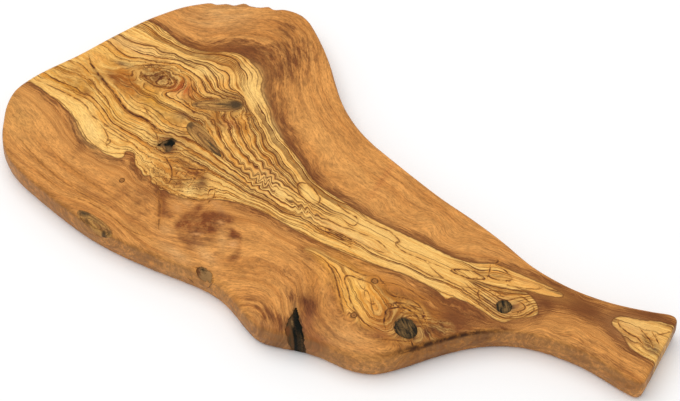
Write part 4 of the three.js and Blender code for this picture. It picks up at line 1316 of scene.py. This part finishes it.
def grey_knot(look):
    """Olive-grey branch wood with grain along the branch and smoky places."""
    w = Wiring(bpy.data.materials.new("grey_knot"))
    place = w.millimetres()
    grain = w.attribute("grain")
    fine = w.noise(place, 0.9, 3, 0.6)
    dark = w.math("MULTIPLY_ADD", w.math("SUBTRACT", fine, 0.5), 0.5, w.attribute("smoke"))
    veined = w.fade(w.math("MULTIPLY_ADD", fine, 0.5, grain), 0.4, 0.95, 0, 0.9)
    colour = w.blend(veined, look.grey, look.halo)
    nested = w.math("FRACT", w.math("MULTIPLY_ADD", w.attribute("round"), 2.6, fine))
    oval = w.fade(w.math("ABSOLUTE", w.math("SUBTRACT", nested, 0.5)), 0.16, 0.03, 0, 0.6)
    colour = w.blend(oval, colour, look.pin_ring)
    colour = w.blend(w.fade(dark, 0.05, 0.95), colour, look.smoke)
    edge = w.fade(w.math("MULTIPLY_ADD", fine, 0.12, w.attribute("round")), 1.0, 1.1, 0, 0.35)
    colour = w.blend(edge, colour, look.pin_ring)
    return w.finish(colour, w.fade(fine, 0.3, 0.7, 0.45, 0.65), 0.12, fine, 0.25, 0.3*MM)


def pin_knot(look):
    """Small rings of dark and light wood."""
    w = Wiring(bpy.data.materials.new("pin_knot"))
    place = w.millimetres()
    fine = w.noise(place, 0.9, 2, 0.5)
    out = w.math("MULTIPLY_ADD", w.math("SUBTRACT", fine, 0.5), 0.9, w.attribute("round"))
    ring = w.math("MULTIPLY", w.fade(out, 0.5, 0.72), w.fade(out, 1.15, 0.9))
    dark = w.math("MULTIPLY", w.math("MAXIMUM", ring, w.fade(out, 0.3, 0.05)), 0.75)
    colour = w.blend(dark, look.pin, look.pin_ring)
    return w.finish(colour, w.fade(fine, 0.3, 0.7, 0.45, 0.6), 0.12, fine, 0.2, 0.3*MM)


def bark_crust(look):
    """Black furrows, grey-green crust and brown inner bark."""
    w = Wiring(bpy.data.materials.new("bark"))
    place = w.millimetres()
    fine = w.noise(place, 1.1, 4, 0.65)
    height = w.math("MULTIPLY_ADD", fine, 0.5, w.attribute("height"))
    colour = w.blend(w.fade(height, 0.4, 1.0, 0, 0.5), look.crust, look.edge)
    colour = w.blend(w.attribute("worn"), colour, look.lichen)
    dark = w.math("MULTIPLY_ADD", w.math("SUBTRACT", fine, 0.5), 0.7, w.attribute("smoke"))
    colour = w.blend(w.fade(dark, 0.1, 0.75), colour, look.furrow)
    brown = w.math("MULTIPLY_ADD", w.math("SUBTRACT", fine, 0.5), 0.8, w.attribute("wood"))
    colour = w.blend(w.fade(brown, 0.2, 0.7), colour, look.edge)
    return w.finish(colour, w.fade(fine, 0.3, 0.7, 0.7, 0.95), 0.1, fine, 0.5, 0.5*MM)


class BOARD_OT_dark_knots(bpy.types.Operator):
    """The two dark knots that go right through the handle and the neck"""
    bl_idname = "board.dark_knots"
    bl_label = "Dark knots"

    def execute(self, context):
        look = context.scene.knot_look
        finish = dark_knot(look)
        for seed, name in enumerate(DARK_KNOTS):
            piece = seated(name, look.growth, look.step)
            places = points_of(piece)[:, :2]
            *_, out = across_knot(places, name)
            down, over = turned(places, KNOT_OVALS[name][0], CRACK_TURN[name])
            wander = rough(0.3*down, 0.3*over, seed + 5)
            grain = 0.5 + 0.5*rough(0.16*down, 0.95*over + 0.5*wander, seed)
            carve(piece, look.crack/MM*np.clip(1.6*(1 - grain) - 0.5, 0, 1))
            store(piece, "grain", grain)
            store(piece, "round", out)
            dress(piece, finish, [name])
        return {"FINISHED"}


class BOARD_OT_grey_knots(bpy.types.Operator):
    """The two spike knots of the blade and the knot on its front arris"""
    bl_idname = "board.grey_knots"
    bl_label = "Grey knots"

    def execute(self, context):
        look = context.scene.knot_look
        finish = grey_knot(look)
        for seed, name in enumerate(GREY_KNOTS):
            piece = seated(name, look.growth, look.step)
            places = points_of(piece)[:, :2]
            along, across, out = across_knot(places, name)
            grain = 0.5 + 0.5*rough(0.09*along, 0.8*across + 0.4*np.sin(0.25*along), seed + 11)
            smoke = share_of(places, DARK_SPOTS)
            carve(piece, look.ridge/MM*np.clip(grain + smoke, 0, 1))
            store(piece, "grain", grain)
            store(piece, "smoke", smoke)
            store(piece, "round", out)
            dress(piece, finish, [name])
        return {"FINISHED"}


class BOARD_OT_pin_knots(bpy.types.Operator):
    """Three pin knots"""
    bl_idname = "board.pin_knots"
    bl_label = "Pin knots"

    def execute(self, context):
        look = context.scene.knot_look
        finish = pin_knot(look)
        for name in PIN_KNOTS:
            piece = seated(name, look.growth, look.step/2)
            *_, out = across_knot(points_of(piece)[:, :2], name)
            carve(piece, look.ridge/MM*(0.5 + 0.5*np.sin(8*out)))
            store(piece, "round", out)
            dress(piece, finish, [name])
        return {"FINISHED"}


class BOARD_OT_bark(bpy.types.Operator):
    """Bark left in the pocket of the blade, in the cleft and on the front edge"""
    bl_idname = "board.bark"
    bl_label = "Bark"

    def execute(self, context):
        look = context.scene.bark_look
        finish = bark_crust(look)
        for seed, name in enumerate(BARK):
            piece = seated(name, look.growth, look.step)
            make_ragged(piece)
            places = points_of(piece)[:, :2]
            down, over = turned(places, places.mean(axis=0), BARK_TURN[name])
            height = 0.5 + 0.45*rough(0.1*down, 0.6*over, seed + 21)
            height += 0.3*rough(0.5*down, 0.9*over, seed + 31)
            smoke = share_of(places, DARK_SPOTS)
            carve(piece, look.relief/MM*np.clip(0.7 - 0.7*height + 0.6*smoke, 0, 1))
            store(piece, "height", np.clip(height, 0, 1))
            store(piece, "smoke", smoke)
            store(piece, "worn", np.maximum(BARK_WEAR[name], share_of(places, BARK_STREAKS)))
            store(piece, "wood", share_of(places, BARK_WOOD))
            dress(piece, finish, [name])
        return {"FINISHED"}


class BOARD_OT_stage(bpy.types.Operator):
    """Floor, soft light and camera"""
    bl_idname = "board.stage"
    bl_label = "Stage"

    def execute(self, context):
        look = context.scene.stage_look
        scene = context.scene
        scene.view_settings.view_transform = "Standard"
        bpy.ops.object.select_all(action="DESELECT")
        bpy.ops.mesh.primitive_plane_add(size=look.floor_size, location=(0, 0, CAD_BOX[0].z - FLOOR_GAP*MM))
        floor = context.active_object
        floor.name = "floor"
        bpy.ops.object.transform_apply(location=True)
        paint_coat = Wiring(bpy.data.materials.new("floor"))
        coat = paint_coat.node("BsdfPrincipled", {"Base Color": look.floor[:], "Roughness": 0.9})
        floor.data.materials.append(paint_coat.output("Material", coat))

        studio = Wiring(bpy.data.worlds.new("studio"))
        rays = studio.node("LightPath").outputs
        mirrored = studio.math("MAXIMUM", rays["Is Glossy Ray"], rays["Is Transmission Ray"])
        seen = studio.math("MAXIMUM", rays["Is Camera Ray"], mirrored)
        strength = studio.node("MapRange", {"Value": seen, "To Min": look.sky, "To Max": 1.0}).outputs[0]
        scene.world = studio.output("World", studio.node("Background", {"Strength": strength}))

        bpy.ops.object.light_add(type="AREA", location=look.key_place)
        key = context.active_object
        key.name = "key"
        key.data.shape = "DISK"
        key.data.size = look.key_size
        key.data.energy = look.key
        key.rotation_euler = (-key.location).to_track_quat("-Z", "Y").to_euler()

        azimuth, elevation = look.azimuth, look.elevation
        back = Vector((math.sin(azimuth)*math.cos(elevation), -math.cos(azimuth)*math.cos(elevation),
                       math.sin(elevation)))
        bpy.ops.object.camera_add(location=Vector(look.target) + look.distance*back)
        camera = context.active_object
        camera.rotation_euler = back.to_track_quat("Z", "Y").to_euler()
        camera.data.lens = look.lens
        camera.data.clip_start = 0.01
        scene.camera = camera
        return {"FINISHED"}


class BOARD_PT_pieces(bpy.types.Panel):
    """Lists the steps that dress the board"""
    bl_idname = "BOARD_PT_pieces"
    bl_label = "Serving board"
    bl_space_type = "VIEW_3D"
    bl_region_type = "UI"
    bl_category = "Board"

    def draw(self, context):
        for step in STEPS:
            self.layout.operator(step.bl_idname)


LOOKS = {"plank_look": PlankLook, "knot_look": KnotLook, "bark_look": BarkLook, "stage_look": StageLook}
STEPS = (BOARD_OT_plank, BOARD_OT_dark_knots, BOARD_OT_grey_knots, BOARD_OT_pin_knots, BOARD_OT_bark,
         BOARD_OT_stage)
CLASSES = (*LOOKS.values(), *STEPS, BOARD_PT_pieces)


def register():
    for cls in CLASSES:
        bpy.utils.register_class(cls)
    for name, look in LOOKS.items():
        setattr(bpy.types.Scene, name, bpy.props.PointerProperty(type=look))


def unregister():
    for name in LOOKS:
        delattr(bpy.types.Scene, name)
    for cls in reversed(CLASSES):
        bpy.utils.unregister_class(cls)


def main():
    register()
    bpy.ops.board.plank()
    bpy.ops.board.dark_knots()
    bpy.ops.board.grey_knots()
    bpy.ops.board.pin_knots()
    bpy.ops.board.bark()
    bpy.ops.board.stage()


if __name__ == "__main__":
    main()
